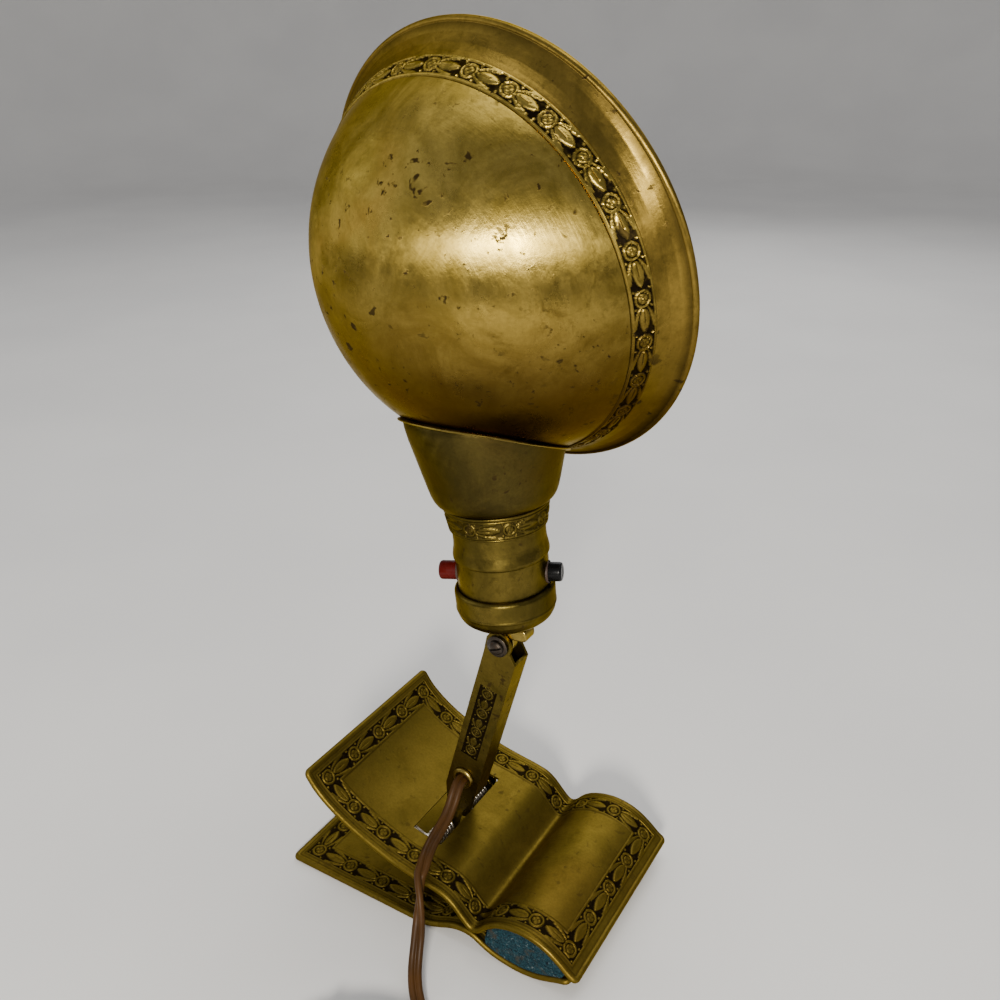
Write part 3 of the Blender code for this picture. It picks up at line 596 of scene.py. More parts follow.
def aged_brass(name, gold, shade_of, red, wear=1.0, roughness=0.34, low=None, spin=False):
    """Old lacquered brass: cloudy tone, brown specks, dark ground in the relief; with low given, a
    painted reflection darkens its lower part.
    """
    m = Shader(name)
    clouds = m.span(m.noise(42.0, 6.0, 0.68, 0.8), 0.34, 0.68)
    colour = m.mix(clouds, gold, shade_of)
    flush = m.span(m.noise(13.0, 3.0, 0.5, 1.0), 0.52, 0.74)
    colour = m.mix(m.math("MULTIPLY", flush, 0.45), colour, red)
    grain = m.span(m.noise(950.0, 3.0, 0.7), 0.3, 0.72)
    colour = m.mix(m.math("MULTIPLY", grain, 0.30), colour, tuple(c * 0.40 for c in gold))
    mottle = m.span(m.noise(150.0, 6.0, 0.72, 0.5), 0.50, 0.66)
    where = m.span(m.noise(17.0, 3.0, 0.6), 0.40, 0.62)
    colour = m.mix(m.math("MULTIPLY", m.math("MULTIPLY", mottle, where), 0.45 * wear), colour,
                   tuple(c * 0.35 for c in shade_of))
    # Painted reflection: between the heights in low the colour turns dark brown towards the bottom,
    # standing in for a dark surface mirrored below.
    if low is not None:
        bottom, top = low
        height = m.height(m.noise(38.0, 4.0, 0.6), 0.03)
        dark = m.span(height, bottom, top, 0.95, 0.0)
        colour = m.mix(dark, colour, tuple(c * 0.22 for c in red))
    small = m.span(m.noise(330.0, 4.0, 0.62), 0.605, 0.70)
    gate = m.span(m.noise(30.0, 2.0, 0.5), 0.40, 0.56)
    specks = m.math("MULTIPLY", small, gate)
    spots = m.span(m.noise(140.0, 3.0, 0.6, 0.4), 0.635, 0.690)
    spots = m.math("MULTIPLY", spots, m.span(m.noise(24.0, 2.0), 0.38, 0.56))
    marks = m.math("MULTIPLY", m.math("MAXIMUM", specks, spots), 0.75 * wear)
    colour = m.mix(marks, colour, (0.030, 0.018, 0.006))
    ground = m.attribute("patina")
    dirt = m.math("MULTIPLY", ground, m.span(m.noise(420.0, 4.0, 0.7), 0.2, 0.55, 0.84, 1.0))
    colour = m.mix(dirt, colour, (0.012, 0.008, 0.004))
    rub = m.span(m.noise(75.0, 5.0, 0.7), 0.3, 0.7, roughness - 0.06, roughness + 0.12)
    rough = m.blend(m.math("MAXIMUM", marks, dirt), rub, 0.66)
    metal = m.blend(m.math("MULTIPLY", marks, 0.5), 1.0, 0.7)
    normal = m.bump(m.scored(spin), 0.14, 0.0004)
    normal = m.bump(m.noise(620.0, 4.0, 0.6), 0.16, 0.00025, normal)
    normal = m.bump(marks, 0.12, 0.0002, normal)
    if spin:
        x, y, z = POLISHED_ALONG
        along = m.node("ShaderNodeCombineXYZ", X=x, Y=y, Z=z)
        m.finish(Anisotropic=0.8, Tangent=along.outputs["Vector"])
    m.surface.inputs["Specular Tint"].default_value = (0.70, 0.58, 0.30, 1.0)
    return m.finish(Base_Color=colour, Metallic=metal, Roughness=rough, Normal=normal)


def plain_metal(name, light, dark, roughness, speck=0.4):
    """Steel or nickel with a little rust; speck is how strong the rust shows."""
    m = Shader(name)
    tone = m.span(m.noise(160.0, 5.0, 0.65), 0.3, 0.7)
    colour = m.mix(tone, light, dark)
    rust = m.math("MULTIPLY", m.span(m.noise(520.0, 4.0, 0.7), 0.58, 0.72), speck)
    colour = m.mix(rust, colour, (0.07, 0.035, 0.018))
    rough = m.blend(rust, m.span(tone, 0.0, 1.0, roughness - 0.06, roughness + 0.10), 0.7)
    normal = m.bump(m.noise(900.0, 3.0, 0.6), 0.12, 0.0002)
    return m.finish(Base_Color=colour, Metallic=1.0, Roughness=rough, Normal=normal)


def moulded(name, colour, dark, roughness, shine=0.28):
    """Moulded plastic, dusty and uneven in tone; shine is its specular level."""
    m = Shader(name)
    tone = m.span(m.noise(90.0, 4.0, 0.6), 0.35, 0.7)
    shade_of = m.mix(m.math("MULTIPLY", tone, 0.7), colour, dark)
    dust = m.span(m.noise(480.0, 4.0, 0.7), 0.6, 0.8)
    lifted = tuple(min(1.0, c * 1.5 + 0.004) for c in colour)
    shade_of = m.mix(m.math("MULTIPLY", dust, 0.35), shade_of, lifted)
    rough = m.span(m.noise(210.0, 4.0, 0.6), 0.3, 0.7, roughness - 0.05, roughness + 0.1)
    normal = m.bump(m.noise(700.0, 3.0, 0.6), 0.08, 0.0002)
    m.surface.inputs["Specular IOR Level"].default_value = shine
    return m.finish(Base_Color=shade_of, Roughness=rough, Normal=normal)


def felt():
    """Blue-green felt with pale and dark flecks."""
    m = Shader("teal_felt")
    fibres = m.noise(760.0, 7.0, 0.8, 2.0)
    colour = m.mix(m.span(fibres, 0.38, 0.62), (0.001, 0.005, 0.009), (0.015, 0.050, 0.064))
    flecks = m.span(m.noise(560.0, 4.0, 0.7, 1.6), 0.60, 0.68)
    colour = m.mix(m.math("MULTIPLY", flecks, 0.8), colour, (0.17, 0.20, 0.20))
    soil = m.span(m.noise(170.0, 5.0, 0.7, 0.5), 0.50, 0.66)
    colour = m.mix(m.math("MULTIPLY", soil, 0.85), colour, (0.040, 0.033, 0.022))
    normal = m.bump(fibres, 0.75, 0.0006)
    m.surface.inputs["Specular IOR Level"].default_value = 0.1
    return m.finish(Base_Color=colour, Roughness=0.95, Normal=normal)


def frosted_glass():
    m = Shader("frosted_bulb")
    haze = m.span(m.noise(60.0, 4.0, 0.6), 0.3, 0.7)
    colour = m.mix(haze, (0.86, 0.85, 0.80), (0.78, 0.77, 0.72))
    dust = m.span(m.noise(500.0, 4.0, 0.7), 0.62, 0.8)
    colour = m.mix(m.math("MULTIPLY", dust, 0.4), colour, (0.55, 0.53, 0.47))
    rough = m.span(haze, 0.0, 1.0, 0.22, 0.36)
    m.surface.inputs["Subsurface Weight"].default_value = 0.4
    m.surface.inputs["Subsurface Scale"].default_value = 0.006
    return m.finish(Base_Color=colour, Roughness=rough)


def fibre_board():
    m = Shader("fibre_board")
    colour = m.mix(m.noise(300.0, 5.0, 0.7), (0.34, 0.28, 0.20), (0.20, 0.15, 0.10))
    return m.finish(Base_Color=colour, Roughness=0.9, Normal=m.bump(m.noise(900.0), 0.3, 0.0003))


def studio_floor():
    m = Shader("pale_floor")
    tone = m.span(m.noise(5.0, 4.0, 0.5), 0.3, 0.7)
    colour = m.mix(tone, (0.70, 0.69, 0.67), (0.66, 0.65, 0.635))
    return m.finish(Base_Color=colour, Roughness=0.75)


SPUN_ABOUT = (0.16231, 0.9545, 0.25015)     # the shade's own axis
POLISHED_ALONG = (0.853, 0.522, 0.0)        # level, along the light band on the dome
BRASS = aged_brass("aged_brass", (0.135, 0.098, 0.021), (0.062, 0.047, 0.010),
                   (0.095, 0.046, 0.010), wear=1.1, roughness=0.31)
PLATE_BRASS = aged_brass("clamp_brass", (0.158, 0.110, 0.018), (0.128, 0.090, 0.014),
                         (0.135, 0.080, 0.013), wear=0.6, roughness=0.46)
# The shade's brasses take low: the heights of a painted reflection that darkens their lower part.
DOME_BRASS = aged_brass("shade_brass", (0.43, 0.310, 0.068), (0.235, 0.165, 0.028),
                        (0.25, 0.120, 0.020), wear=1.3, roughness=0.30, low=(0.228, 0.288),
                        spin=True)
# Painted shade: the flare is the same sheet as the dome, given a darker copy of its brass.
SHADED_FLARE_BRASS = aged_brass("flare_brass_painted_shade", (0.270, 0.180, 0.036), (0.150, 0.102, 0.020),
                         (0.21, 0.105, 0.018), wear=1.3, roughness=0.33, low=(0.200, 0.270),
                         spin=True)
NECK_BRASS = aged_brass("neck_brass", (0.082, 0.062, 0.016), (0.040, 0.031, 0.009),
                        (0.075, 0.040, 0.009), wear=1.2, roughness=0.36)
BRIGHT_BRASS = aged_brass("rubbed_brass", (0.32, 0.235, 0.060), (0.19, 0.135, 0.030),
                          (0.18, 0.092, 0.022), wear=0.7, roughness=0.27)
STEEL = plain_metal("spring_steel", (0.62, 0.57, 0.50), (0.36, 0.32, 0.27), 0.30)
DARK_STEEL = plain_metal("blackened_steel", (0.085, 0.070, 0.055), (0.040, 0.032, 0.026), 0.40, 0.5)
NICKEL = plain_metal("nickel_plate", (0.66, 0.63, 0.57), (0.50, 0.47, 0.42), 0.24, 0.15)
VINYL = moulded("brown_vinyl", (0.052, 0.0215, 0.0036), (0.026, 0.0105, 0.0020), 0.42, shine=0.16)
PLUG_VINYL = moulded("plug_vinyl", (0.045, 0.018, 0.004), (0.028, 0.011, 0.002), 0.45, shine=0.16)
RED = moulded("red_button", (0.070, 0.003, 0.0015), (0.045, 0.002, 0.001), 0.25, shine=0.14)
BLACK = moulded("black_button", (0.004, 0.004, 0.004), (0.002, 0.002, 0.002), 0.22, shine=0.12)
PHENOLIC = moulded("phenolic", (0.045, 0.026, 0.018), (0.022, 0.014, 0.010), 0.55)
FELT = felt()
FLOOR = studio_floor()
GLASS = frosted_glass()
FIBRE = fibre_board()


# ---- cord ----
def cord_over_clamp():
    """Middle of the cord from the grommet to just past the upper plate's near edge."""
    return [
        (7.5, -6.3, 45.7), (7.5, -7.2, 45.6), (7.6, -9.2, 45.1), (7.9, -12.0, 42.9),
        (8.2, -15.5, 39.2), (8.4, -20.0, 35.9), (8.7, -25.0, 34.4), (9.5, -30.0, 34.0),
        (10.8, -35.0, 34.1), (12.4, -40.0, 33.8), (13.6, -43.5, 33.0), (14.0, -45.0, 32.5)]


def cord_to_coil():
    """Middle of the cord from there down to the table and along it to the coil."""
    return [
        (14.3, -46.2, 31.9), (15.8, -48.6, 29.6), (17.6, -51.4, 26.2), (19.0, -54.0, 21.9),
        (20.0, -56.2, 17.8), (20.9, -58.4, 13.9), (22.2, -61.6, 9.6), (24.2, -65.3, 6.0),
        (27.0, -68.9, 3.5), (30.6, -72.3, 2.0), (35.0, -76.1, 1.5), (39.8, -80.2, 1.45),
        (44.5, -84.2, 1.45)]


def coil_line():
    """The stored turns, wound clockwise through three columns and three rows."""
    cells = [(2, 0), (1, 0), (0, 0), (0, 1), (0, 2), (1, 2), (1, 1), (2, 1), (2, 2)]
    total = 360.0 * COIL_TURNS + math.degrees(COIL_ENTER - COIL_LEAVE)
    turned = np.arange(0.0, total + 1.0, 5.0)
    change, over = 150.0, 34.0
    step = (turned - change) / 360.0
    which = np.clip(np.floor(step) + 1, 0, len(cells) - 1).astype(int)
    into = np.clip((turned - change - (which - 1) * 360.0) / over, 0.0, 1.0)
    into = np.where(which == 0, 1.0, eased(into))
    now = np.array([cells[k] for k in which], float)
    before = np.array([cells[max(k - 1, 0)] for k in which], float)
    cell = before + (now - before) * into[:, None]
    radius = COIL_MIDDLE + (cell[:, 0] - 1) * COIL_COLUMN
    angle = COIL_ENTER - np.radians(turned)
    return np.stack([COIL_CENTRE[0] + radius * np.cos(angle),
                     COIL_CENTRE[1] + radius * np.sin(angle),
                     CORD_THICK / 2.0 + 1.1 + cell[:, 1] * COIL_ROW], -1)


PLUG_START = 27.4
PLUG_Z = 5.5


def tail_line(last):
    """From the last turn to the back of the plug."""
    along = Vector((math.sin(COIL_LEAVE), -math.cos(COIL_LEAVE), 0.0))
    points = [Vector(last) + along * d for d in (6.0, 13.0, 20.0, PLUG_START + 1.0)]
    for point, share in zip(points, (0.12, 0.5, 0.88, 1.0)):
        point.z = last[2] + (PLUG_Z - last[2]) * share
    return [tuple(p) for p in points]


def cord_section():
    """Two insulated wires side by side with a groove between them."""
    radius = CORD_THICK / 2.0
    middle = CORD_WIDTH / 2.0 - radius
    right = arc((middle, 0.0), radius, -146.0, 146.0, 12)
    left = [(-x, -y) for x, y in right]
    return right + left


def make_cord():
    """One route, split where the upper jaw's stretch ends; both halves share their direction."""
    coil = coil_line()
    route = smooth_line(cord_over_clamp() + cord_to_coil() + [(51.0, -89.75, 1.7)], 0.9)
    rest = smooth_line(np.vstack([route[-2:], coil, tail_line(coil[-1])]), 2.0)
    whole = np.vstack([route[:-2], rest])
    split = int(np.linalg.norm(whole - cord_over_clamp()[-1], axis=1).argmin())
    walked = walked_along(whole)
    share = np.clip((walked - walked[split] + 12.0) / 40.0, 0.0, 1.0)
    twist = math.pi * eased(share)
    section = np.array(cord_section())
    lead = sweep("cord_lead_flex", whole[:split + 1], section, VINYL, twist=twist[:split + 1])
    nested = split - 2
    run = sweep("cord_run_flex", whole[nested:], section * 0.985, VINYL, twist=twist[nested:])
    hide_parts("cord_lead")
    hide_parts("cord_run", "cord_coil", "cord_tail")
    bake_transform(lead)
    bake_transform(run)
    return lead, run, whole[:split + 1], whole[nested:]


def make_tie():
    """Black band round the coil."""
    outer = COIL_MIDDLE + COIL_COLUMN + CORD_WIDTH / 2.0
    inner = COIL_MIDDLE - COIL_COLUMN - CORD_WIDTH / 2.0
    place = shift(*COIL_CENTRE, 0.0) @ turn_z(math.radians(135.0))
    low, high = 0.35, 10.25
    outline = fillet([(inner - 0.5, low), (outer + 0.5, low), (outer + 0.5, high),
                      (inner - 0.5, high)], 2.2, 6)
    line = np.array([(x, 0.0, z) for x, z in outline + outline[:1]])
    loop = respaced(line, 0.8)[:-1]
    half = 2.1
    width = np.array([-half, -half * 0.6, 0.0, half * 0.6, half])
    centre = loop.mean(0)
    out = unit(loop - centre) * 0.28
    rows = [loop + np.array([0, y, 0]) + out for y in width]
    rows += [loop + np.array([0, y, 0]) - out for y in width[::-1]]
    points = np.stack(rows, 1)
    faces = grid_faces(len(loop), 10, wrap_rows=True, wrap_cols=True)
    band = mesh_from("coil_band", points, faces, BLACK, place)
    set_on(band, "lower_jaw", "coil_tie", slot="black_button")
    return band


def make_plug():
    """Moulded two-pin plug with grip ridges, a ribbed neck and flat blades."""
    leave = Vector((math.cos(COIL_LEAVE), math.sin(COIL_LEAVE), 0.0))
    along = Vector((leave.y, -leave.x, 0.0))
    touch = Vector((*COIL_CENTRE, 0.0)) + leave * (COIL_MIDDLE + COIL_COLUMN)
    place = Matrix.Translation(touch + along * PLUG_START + Vector((0, 0, PLUG_Z)))
    place = place @ turn_z(math.atan2(along.y, along.x))
    stations = [(0.0, 3.2, 2.0), (0.6, 3.6, 2.4), (5.0, 4.4, 3.2), (8.5, 7.6, 4.4),
                (12.5, 10.2, 5.2), (19.0, 10.9, 5.4), (25.0, 11.1, 5.4), (26.0, 10.5, 4.9)]
    line = smooth_line(stations, 0.5)
    angles = full_turn(48)
    c, s = np.cos(angles), np.sin(angles)
    round_y = np.sign(c) * np.abs(c) ** 0.55
    round_z = np.sign(s) * np.abs(s) ** 0.55
    grip = np.clip(np.sin((line[:, 0] - 10.0) * 2 * math.pi / 2.6), 0.0, 1.0)
    grip = grip * (line[:, 0] > 11.0) * (line[:, 0] < 22.0) * 0.35
    ring = np.clip(np.sin(line[:, 0] * 2 * math.pi / 1.8), 0.0, 1.0) * (line[:, 0] < 7.0) * 0.3
    y = (line[:, 1] - 0.35 + grip - ring)[:, None] * round_y
    z = np.clip(line[:, 2] - 0.1, 0, 5.3)[:, None] * round_z
    x = np.broadcast_to(line[:, :1], y.shape)
    faces = grid_faces(len(line), 48, wrap_cols=True)
    last = (len(line) - 1) * 48
    faces += [list(range(48)), list(range(last, last + 48))]
    body = mesh_from("plug_moulding", np.stack([x, y, z], -1), faces, PLUG_VINYL, place)
    set_on(body, "lower_jaw", "plug_body", slot="brown_vinyl")
    pieces = [body]
    for side, node in ((-1.0, "plug_blade_left"), (1.0, "plug_blade_right")):
        tip = fillet([(26.2, -3.1), (40.6, -3.1), (42.4, -1.6), (42.4, 1.6), (40.6, 3.1),
                      (26.2, 3.1)], 0.6, 4)
        flat = place @ shift(0, side * 6.35, 0) @ ALONG_Y
        blade = slab(node + "_metal", tip, 1.45, flat, NICKEL, bevel=0)
        carve(blade, [drill(1.3, -2, 2, flat, NICKEL, 32, x=38.4)])
        add_bevel(blade, 0.18)
        pieces.append(set_on(blade, "lower_jaw", node, slot="nickel"))
    return pieces


# ---- clamp plates ----
def upper_profile():
    handle = [(-44.0, 53.0), (-39.6, 46.5), (-34.2, 41.4), (-27.6, 36.9), (-20.0, 32.9)]
    deck = [(-12.0, 29.6), (-4.5, 26.9), (0.0, 25.7), (7.5, 24.3), (16.0, 22.9), (21.5, 21.4)]
    throat = [(25.6, 18.6), (29.0, 14.9), (32.2, 11.6), (34.2, 10.9), (36.4, 12.2)]
    hump = [(39.8, 16.0), (44.0, 18.9), (49.6, 20.9), (55.6, 21.5), (61.4, 20.6),
            (66.4, 18.5), (71.0, 15.3), (75.2, 11.6), (79.0, 9.3)]
    return handle + deck + throat + hump


def lower_profile():
    handle = [(-57.3, HEM), (-32.0, HEM), (-14.0, HEM), (8.0, HEM)]
    throat = [(13.0, 2.5), (17.4, 4.2), (21.6, 6.3), (26.0, 7.9), (30.5, 8.4), (34.5, 7.6)]
    hump = [(38.5, 5.4), (43.0, 3.5), (49.0, 2.3), (55.0, HEM), (61.0, 2.8), (66.5, 4.7),
            (71.0, 6.6), (75.0, 7.7)]
    return handle + throat + hump


SIDE_INSET = 8.2     # from the long edges and the handle's end to the border's middle
TIP_INSET = 9.4      # the same at the jaw's tip
UNIT_PITCH = 16.6
UNITS_ACROSS = 4
CORNER_RADIUS = 2.6
STEP = 0.33


def plate_columns(slot_half):
    """Places across the plate for the fine upper side and the coarse under side."""
    half = PLATE_HALF
    fine = np.linspace(-half, half, int(2 * half / STEP) + 1)
    for edge in (-slot_half, slot_half):
        fine[np.abs(fine - edge).argmin()] = edge
    edge = [half, half - 0.15, half - 0.5, half - 1.0, half - 1.8, half - 2.8, half - 3.0]
    inner = [slot_half, 12.0, 4.0]
    coarse = np.array(sorted([-v for v in edge + inner] + edge + inner))
    return fine, coarse


def edge_distance(u, y, length):
    """How far a point of the flattened plate is from its round-cornered edge."""
    radius = CORNER_RADIUS
    to_end = np.minimum(u, length - u)
    to_side = PLATE_HALF - np.abs(y)
    corner = radius - np.hypot(np.clip(radius - to_end, 0, None), np.clip(radius - to_side, 0, None))
    near_corner = (to_end < radius) & (to_side < radius)
    return np.where(near_corner, corner, np.minimum(to_end, to_side))


def upper_side(u, y, length):
    """(height, patina) of the plate's upper side over its nominal surface."""
    e = np.clip(edge_distance(u, y, length), 0.0, None)
    bead = -1.0 + 1.22 * np.sqrt(np.clip(1.0 - ((e - 1.25) / 1.25) ** 2, 0.0, 1.0))
    height = np.where(e < 1.25, bead, np.maximum(bead, 0.0))
    groove = np.clip(1.0 - np.abs(e - 2.35) / 0.45, 0.0, 1.0)
    height = height - 0.10 * groove
    middle = (SIDE_INSET + length - TIP_INSET) / 2.0
    half_length = (length - TIP_INSET - SIDE_INSET) / 2.0
    half_width = PLATE_HALF - SIDE_INSET
    t = np.maximum(np.abs(u - middle) - half_length, np.abs(y) - half_width)
    inside = np.abs(t) < BORDER_HALF
    long_count = round(2 * half_length / UNIT_PITCH)
    s = u - SIDE_INSET
    along = border(np.where(y > 0, s, 2 * half_length - s), np.abs(y) - half_width,
                   2 * half_length, long_count, BORDER_HALF)
    on_long = (s > -3.2) & (s < 2 * half_length + 3.2)
    relief = np.where(on_long, along, 0.0)
    for cross in (-s, s - 2 * half_length):
        side = np.where(s < half_length, y + half_width, half_width - y)
        band = border(side, cross, 2 * half_width, UNITS_ACROSS, BORDER_HALF)
        on_short = (side > -3.2) & (side < 2 * half_width + 3.2)
        relief = np.maximum(relief, np.where(on_short, band, 0.0))
    relief = np.maximum(relief, rails(t, BORDER_HALF))
    relief, dark = worn(relief, inside, 0.16)
    near_rail = np.clip(1.0 - np.abs(np.abs(t) - BORDER_HALF - 0.55) / 0.5, 0.0, 1.0) * 0.5
    dark = np.maximum(dark, np.maximum(near_rail, groove * 0.55))
    dents = 0.10 * np.sin(u * 0.16 + 1.3 * np.sin(y * 0.09)) * np.sin(y * 0.13 + 0.7)
    return height + relief + dents * np.clip(e / 3.0, 0.0, 1.0), dark


def under_side(u, y, length):
    e = np.clip(edge_distance(u, y, length), 0.0, None)
    lip = -1.0 - 1.0 * np.sqrt(np.clip(1.0 - ((e - 1.0) / 1.0) ** 2, 0.0, 1.0))
    fold = np.clip((e - HEM_WIDTH) / 0.2, 0.0, 1.0)
    return np.where(e < 1.0, lip, -HEM + (HEM - SHEET) * fold)


def bent_plate(name, profile, slot_half, finish):
    """The whole sheet as one closed mesh: relief above, folded edge, slot for the arm."""
    line = smooth_line(profile, STEP)
    length = line_length(line)
    at = np.linspace(0.0, length, len(line))
    ends = [0.0, 0.04, 0.12, 0.24, length - 0.24, length - 0.12, length - 0.04]
    u = np.unique(np.concatenate([at, ends]))
    line = np.stack([np.interp(u, at, line[:, k]) for k in (0, 1)], -1)
    starts = [np.abs(line[:, 0] - x).argmin() for x in SLOT_X]
    normal = normals(line)
    fine, coarse = plate_columns(slot_half)
    to_end = np.minimum(u, length - u)
    radius = CORNER_RADIUS
    pulled = radius - np.sqrt(np.clip(radius ** 2 - np.clip(radius - to_end, 0, None) ** 2, 0, None))
    across = np.concatenate([fine, coarse[::-1]])
    top_count = len(fine)
    edge = np.clip((np.abs(across) - (PLATE_HALF - 8.0)) / 8.0, 0.0, 1.0) * np.sign(across)
    y = across[None, :] - pulled[:, None] * edge[None, :]
    uu = np.broadcast_to(u[:, None], y.shape)
    height, dark = upper_side(uu[:, :top_count], y[:, :top_count], length)
    below = under_side(uu[:, top_count:], y[:, top_count:], length)
    height = np.concatenate([height, below], 1)
    patina = np.concatenate([dark, np.zeros_like(below)], 1)
    x = line[:, :1] + normal[:, :1] * height
    z = line[:, 1:] + normal[:, 1:] * height
    points = np.stack([x, y, z], -1)
    rows, cols = y.shape
    faces = np.array(grid_faces(rows, cols, wrap_cols=True)).reshape(rows - 1, cols, 4)
    keep = np.ones((rows - 1, cols), bool)
    top_left, top_right = [int(np.abs(fine - e).argmin()) for e in (-slot_half, slot_half)]
    back = across[top_count:]
    low_right, low_left = [top_count + int(np.abs(back - e).argmin()) for e in (slot_half, -slot_half)]
    first, last = starts
    keep[first:last, top_left:top_right] = False
    keep[first:last, low_right:low_left] = False
    faces = faces[keep].tolist()
    for a, b in ((top_left, low_left), (top_right, low_right)):
        faces += [[i * cols + a, i * cols + b, (i + 1) * cols + b, (i + 1) * cols + a]
                  for i in range(first, last)]
    for row in (first, last):
        loop = [row * cols + j for j in range(top_left, top_right + 1)]
        loop += [row * cols + j for j in range(low_right, low_left + 1)]
        faces.append(loop)
    for row in (0, rows - 1):
        faces.append([row * cols + j for j in range(cols)])
    return mesh_from(name, points, faces, finish, patina=patina, sharp=50.0)


def ear(name, at_y, reach, finish, body):
    """One lug of a plate, with the hole for the pin."""
    rim = arc((0.0, 0.0), EAR_RADIUS, 180.0, 0.0, 24)
    if reach > 0:
        rim = arc((0.0, 0.0), EAR_RADIUS, -180.0, 0.0, 24)
    outline = rim + [(EAR_RADIUS, reach), (-EAR_RADIUS, reach)]
    flat = PIN_FRAME @ shift(0, at_y, 0) @ ALONG_Y
    lug = slab(name, outline, SHEET, flat, finish, bevel=0)
    carve(lug, [drill(1.8, -3, 3, flat, finish, 40)])
    add_bevel(lug, 0.22)
    return set_on(lug, body)


def make_plates():
    upper = bent_plate("upper_plate_sheet", upper_profile(), SLOT_HALF, PLATE_BRASS)
    set_on(upper, "upper_jaw", "upper_plate")
    lower = bent_plate("lower_plate_sheet", lower_profile(), LOWER_SLOT_HALF, PLATE_BRASS)
    set_on(lower, "lower_jaw", "lower_plate")
    for side, tag in ((-1.0, "near"), (1.0, "far")):
        ear(f"upper_ear_{tag}", side * UPPER_EAR_Y, 25.0 - HINGE_Z, BRASS, "upper_jaw")
        ear(f"lower_ear_{tag}", side * LOWER_EAR_Y, 1.4 - HINGE_Z, BRASS, "lower_jaw")


def felt_pad(name, profile, start, end, flat, clearance, body, node):
    """A lens of felt with soft edges and a fibrous, slightly lumpy surface."""
    line = smooth_line(profile, 1.0)
    moved = line + normals(line) * clearance
    inside = (moved[:, 0] > start) & (moved[:, 0] < end)
    below = clearance > 0
    inside &= (flat - moved[:, 1] > 0.3) if below else (moved[:, 1] - flat > 0.3)
    curve = moved[inside]
    outline = [(start, flat)] + [tuple(p) for p in curve] + [(end, flat)]
    outline = np.array(fillet(outline, 0.8, 3))
    loop = respaced(np.vstack([outline, outline[:1]]), 0.6)[:-1]
    middle = loop.mean(0)
    half = PLATE_HALF - 1.0
    places = np.concatenate([[-half, -half + 0.12, -half + 0.4, -half + 0.9],
                             np.linspace(-half + 1.6, half - 1.6, 110),
                             [half - 0.9, half - 0.4, half - 0.12, half]])
    shrink = np.clip(half - np.abs(places), 0, 0.9) / 0.9
    shrink = 1.0 - 0.045 * (1.0 - np.sqrt(1.0 - (1.0 - shrink) ** 2))
    ring = middle + (loop - middle)[None] * shrink[:, None, None]
    lumps = (np.sin(ring[..., 0] * 2.1 + places[:, None] * 1.7) * np.sin(ring[..., 1] * 2.7)
             + np.sin(places[:, None] * 3.9 + ring[..., 0] * 3.3)) * 0.05
    ring = ring + unit(ring - middle) * (lumps - 0.08)[..., None]
    points = np.stack([ring[..., 0], np.broadcast_to(places[:, None], ring[..., 0].shape),
                       ring[..., 1]], -1)
    rows, cols = points.shape[:2]
    faces = grid_faces(rows, cols, wrap_cols=True)
    faces += [list(range(cols)), list(range((rows - 1) * cols, rows * cols))]
    pad = mesh_from(name, points, faces, FELT)
    set_on(pad, body, node, slot="felt")
    return pad


def make_felt():
    felt_pad("felt_lower_pad", lower_profile(), 38.6, 73.0, 9.46, 0.2, "lower_jaw", "felt_lower")
    felt_pad("felt_upper_pad", upper_profile(), 39.4, 72.4, 9.54, -HEM - 0.2, "upper_jaw",
             "felt_upper")


def make_pin():
    reach = UPPER_EAR_Y + SHEET / 2.0 + 0.3
    head = [(0.0, reach + 1.5), (1.5, reach + 1.3), (2.6, reach + 0.6), (2.6, reach)]
    profile = head + [(PIN_RADIUS, reach), (PIN_RADIUS, -reach)]
    profile += [(r, -z) for r, z in reversed(head)]
    pin = lathe("hinge_pin_steel", profile, PIN_FRAME @ ALONG_Y, STEEL, 48, ring=False)
    set_on(pin, "lower_jaw", "hinge_pin", slot="steel")


def make_springs():
    """Two torsion springs on the pin; each has its long leg under or over a plate."""
    turns, radius = 7, 3.2
    for tag, sign, body, node in (("near", -1.0, "upper_jaw", "spring_near"),
                                  ("far", 1.0, "lower_jaw", "spring_far")):
        steps = turns * 40
        angle = np.radians(90.0 if sign < 0 else -90.0) + np.arange(steps + 1) * 2 * math.pi / 40
        y = np.linspace(-19.4, -7.2, steps + 1) if sign < 0 else np.linspace(7.2, 19.4, steps + 1)
        coil = np.stack([radius * np.cos(angle), y, radius * np.sin(angle)], -1)
        if sign < 0:
            leg = np.array([(-17.0, -19.7, 10.6), (-13.0, -19.7, 8.8), (-9.0, -19.7, 6.9),
                            (-5.5, -19.65, 5.2), (-3.2, -19.6, 4.1)])
            line = np.vstack([leg, coil])
        else:
            leg = np.array([(-3.2, 19.6, -4.4), (-5.5, 19.65, -6.0), (-9.0, 19.7, -9.0),
                            (-13.0, 19.7, -11.7), (-17.0, 19.7, -14.2)])
            line = np.vstack([coil, leg])
        line = smooth_line(line, 0.5)
        spring = wire(f"spring_{tag}_wire", line, 0.6, STEEL, start=(0, 1, 0), sides=12,
                      matrix=PIN_FRAME)
        set_on(spring, body, node, slot="steel")


# ---- arm ----
PANEL_LOW, PANEL_TOP = 40.5, 78.0
PANEL_LEFT, PANEL_RIGHT = -4.3, 3.3
PANEL_DEPTH = 0.35


def arm_outline():
    ear_half = 3.75
    outline = arc((0.0, 0.0), ear_half, -180.0, 0.0, 24)
    outline += [(ear_half, 9.5), (ARM_HALF_WIDTH, 20.0), (ARM_HALF_WIDTH, WEB_TOP)]
    outline += arc((ARM_PIVOT_OFFSET, ARM_PIVOT), 5.5, -12.0, 168.0, 28)
    outline += [(-ARM_HALF_WIDTH, 94.0), (-ARM_HALF_WIDTH, 20.0), (-ear_half, 9.5)]
    return outline


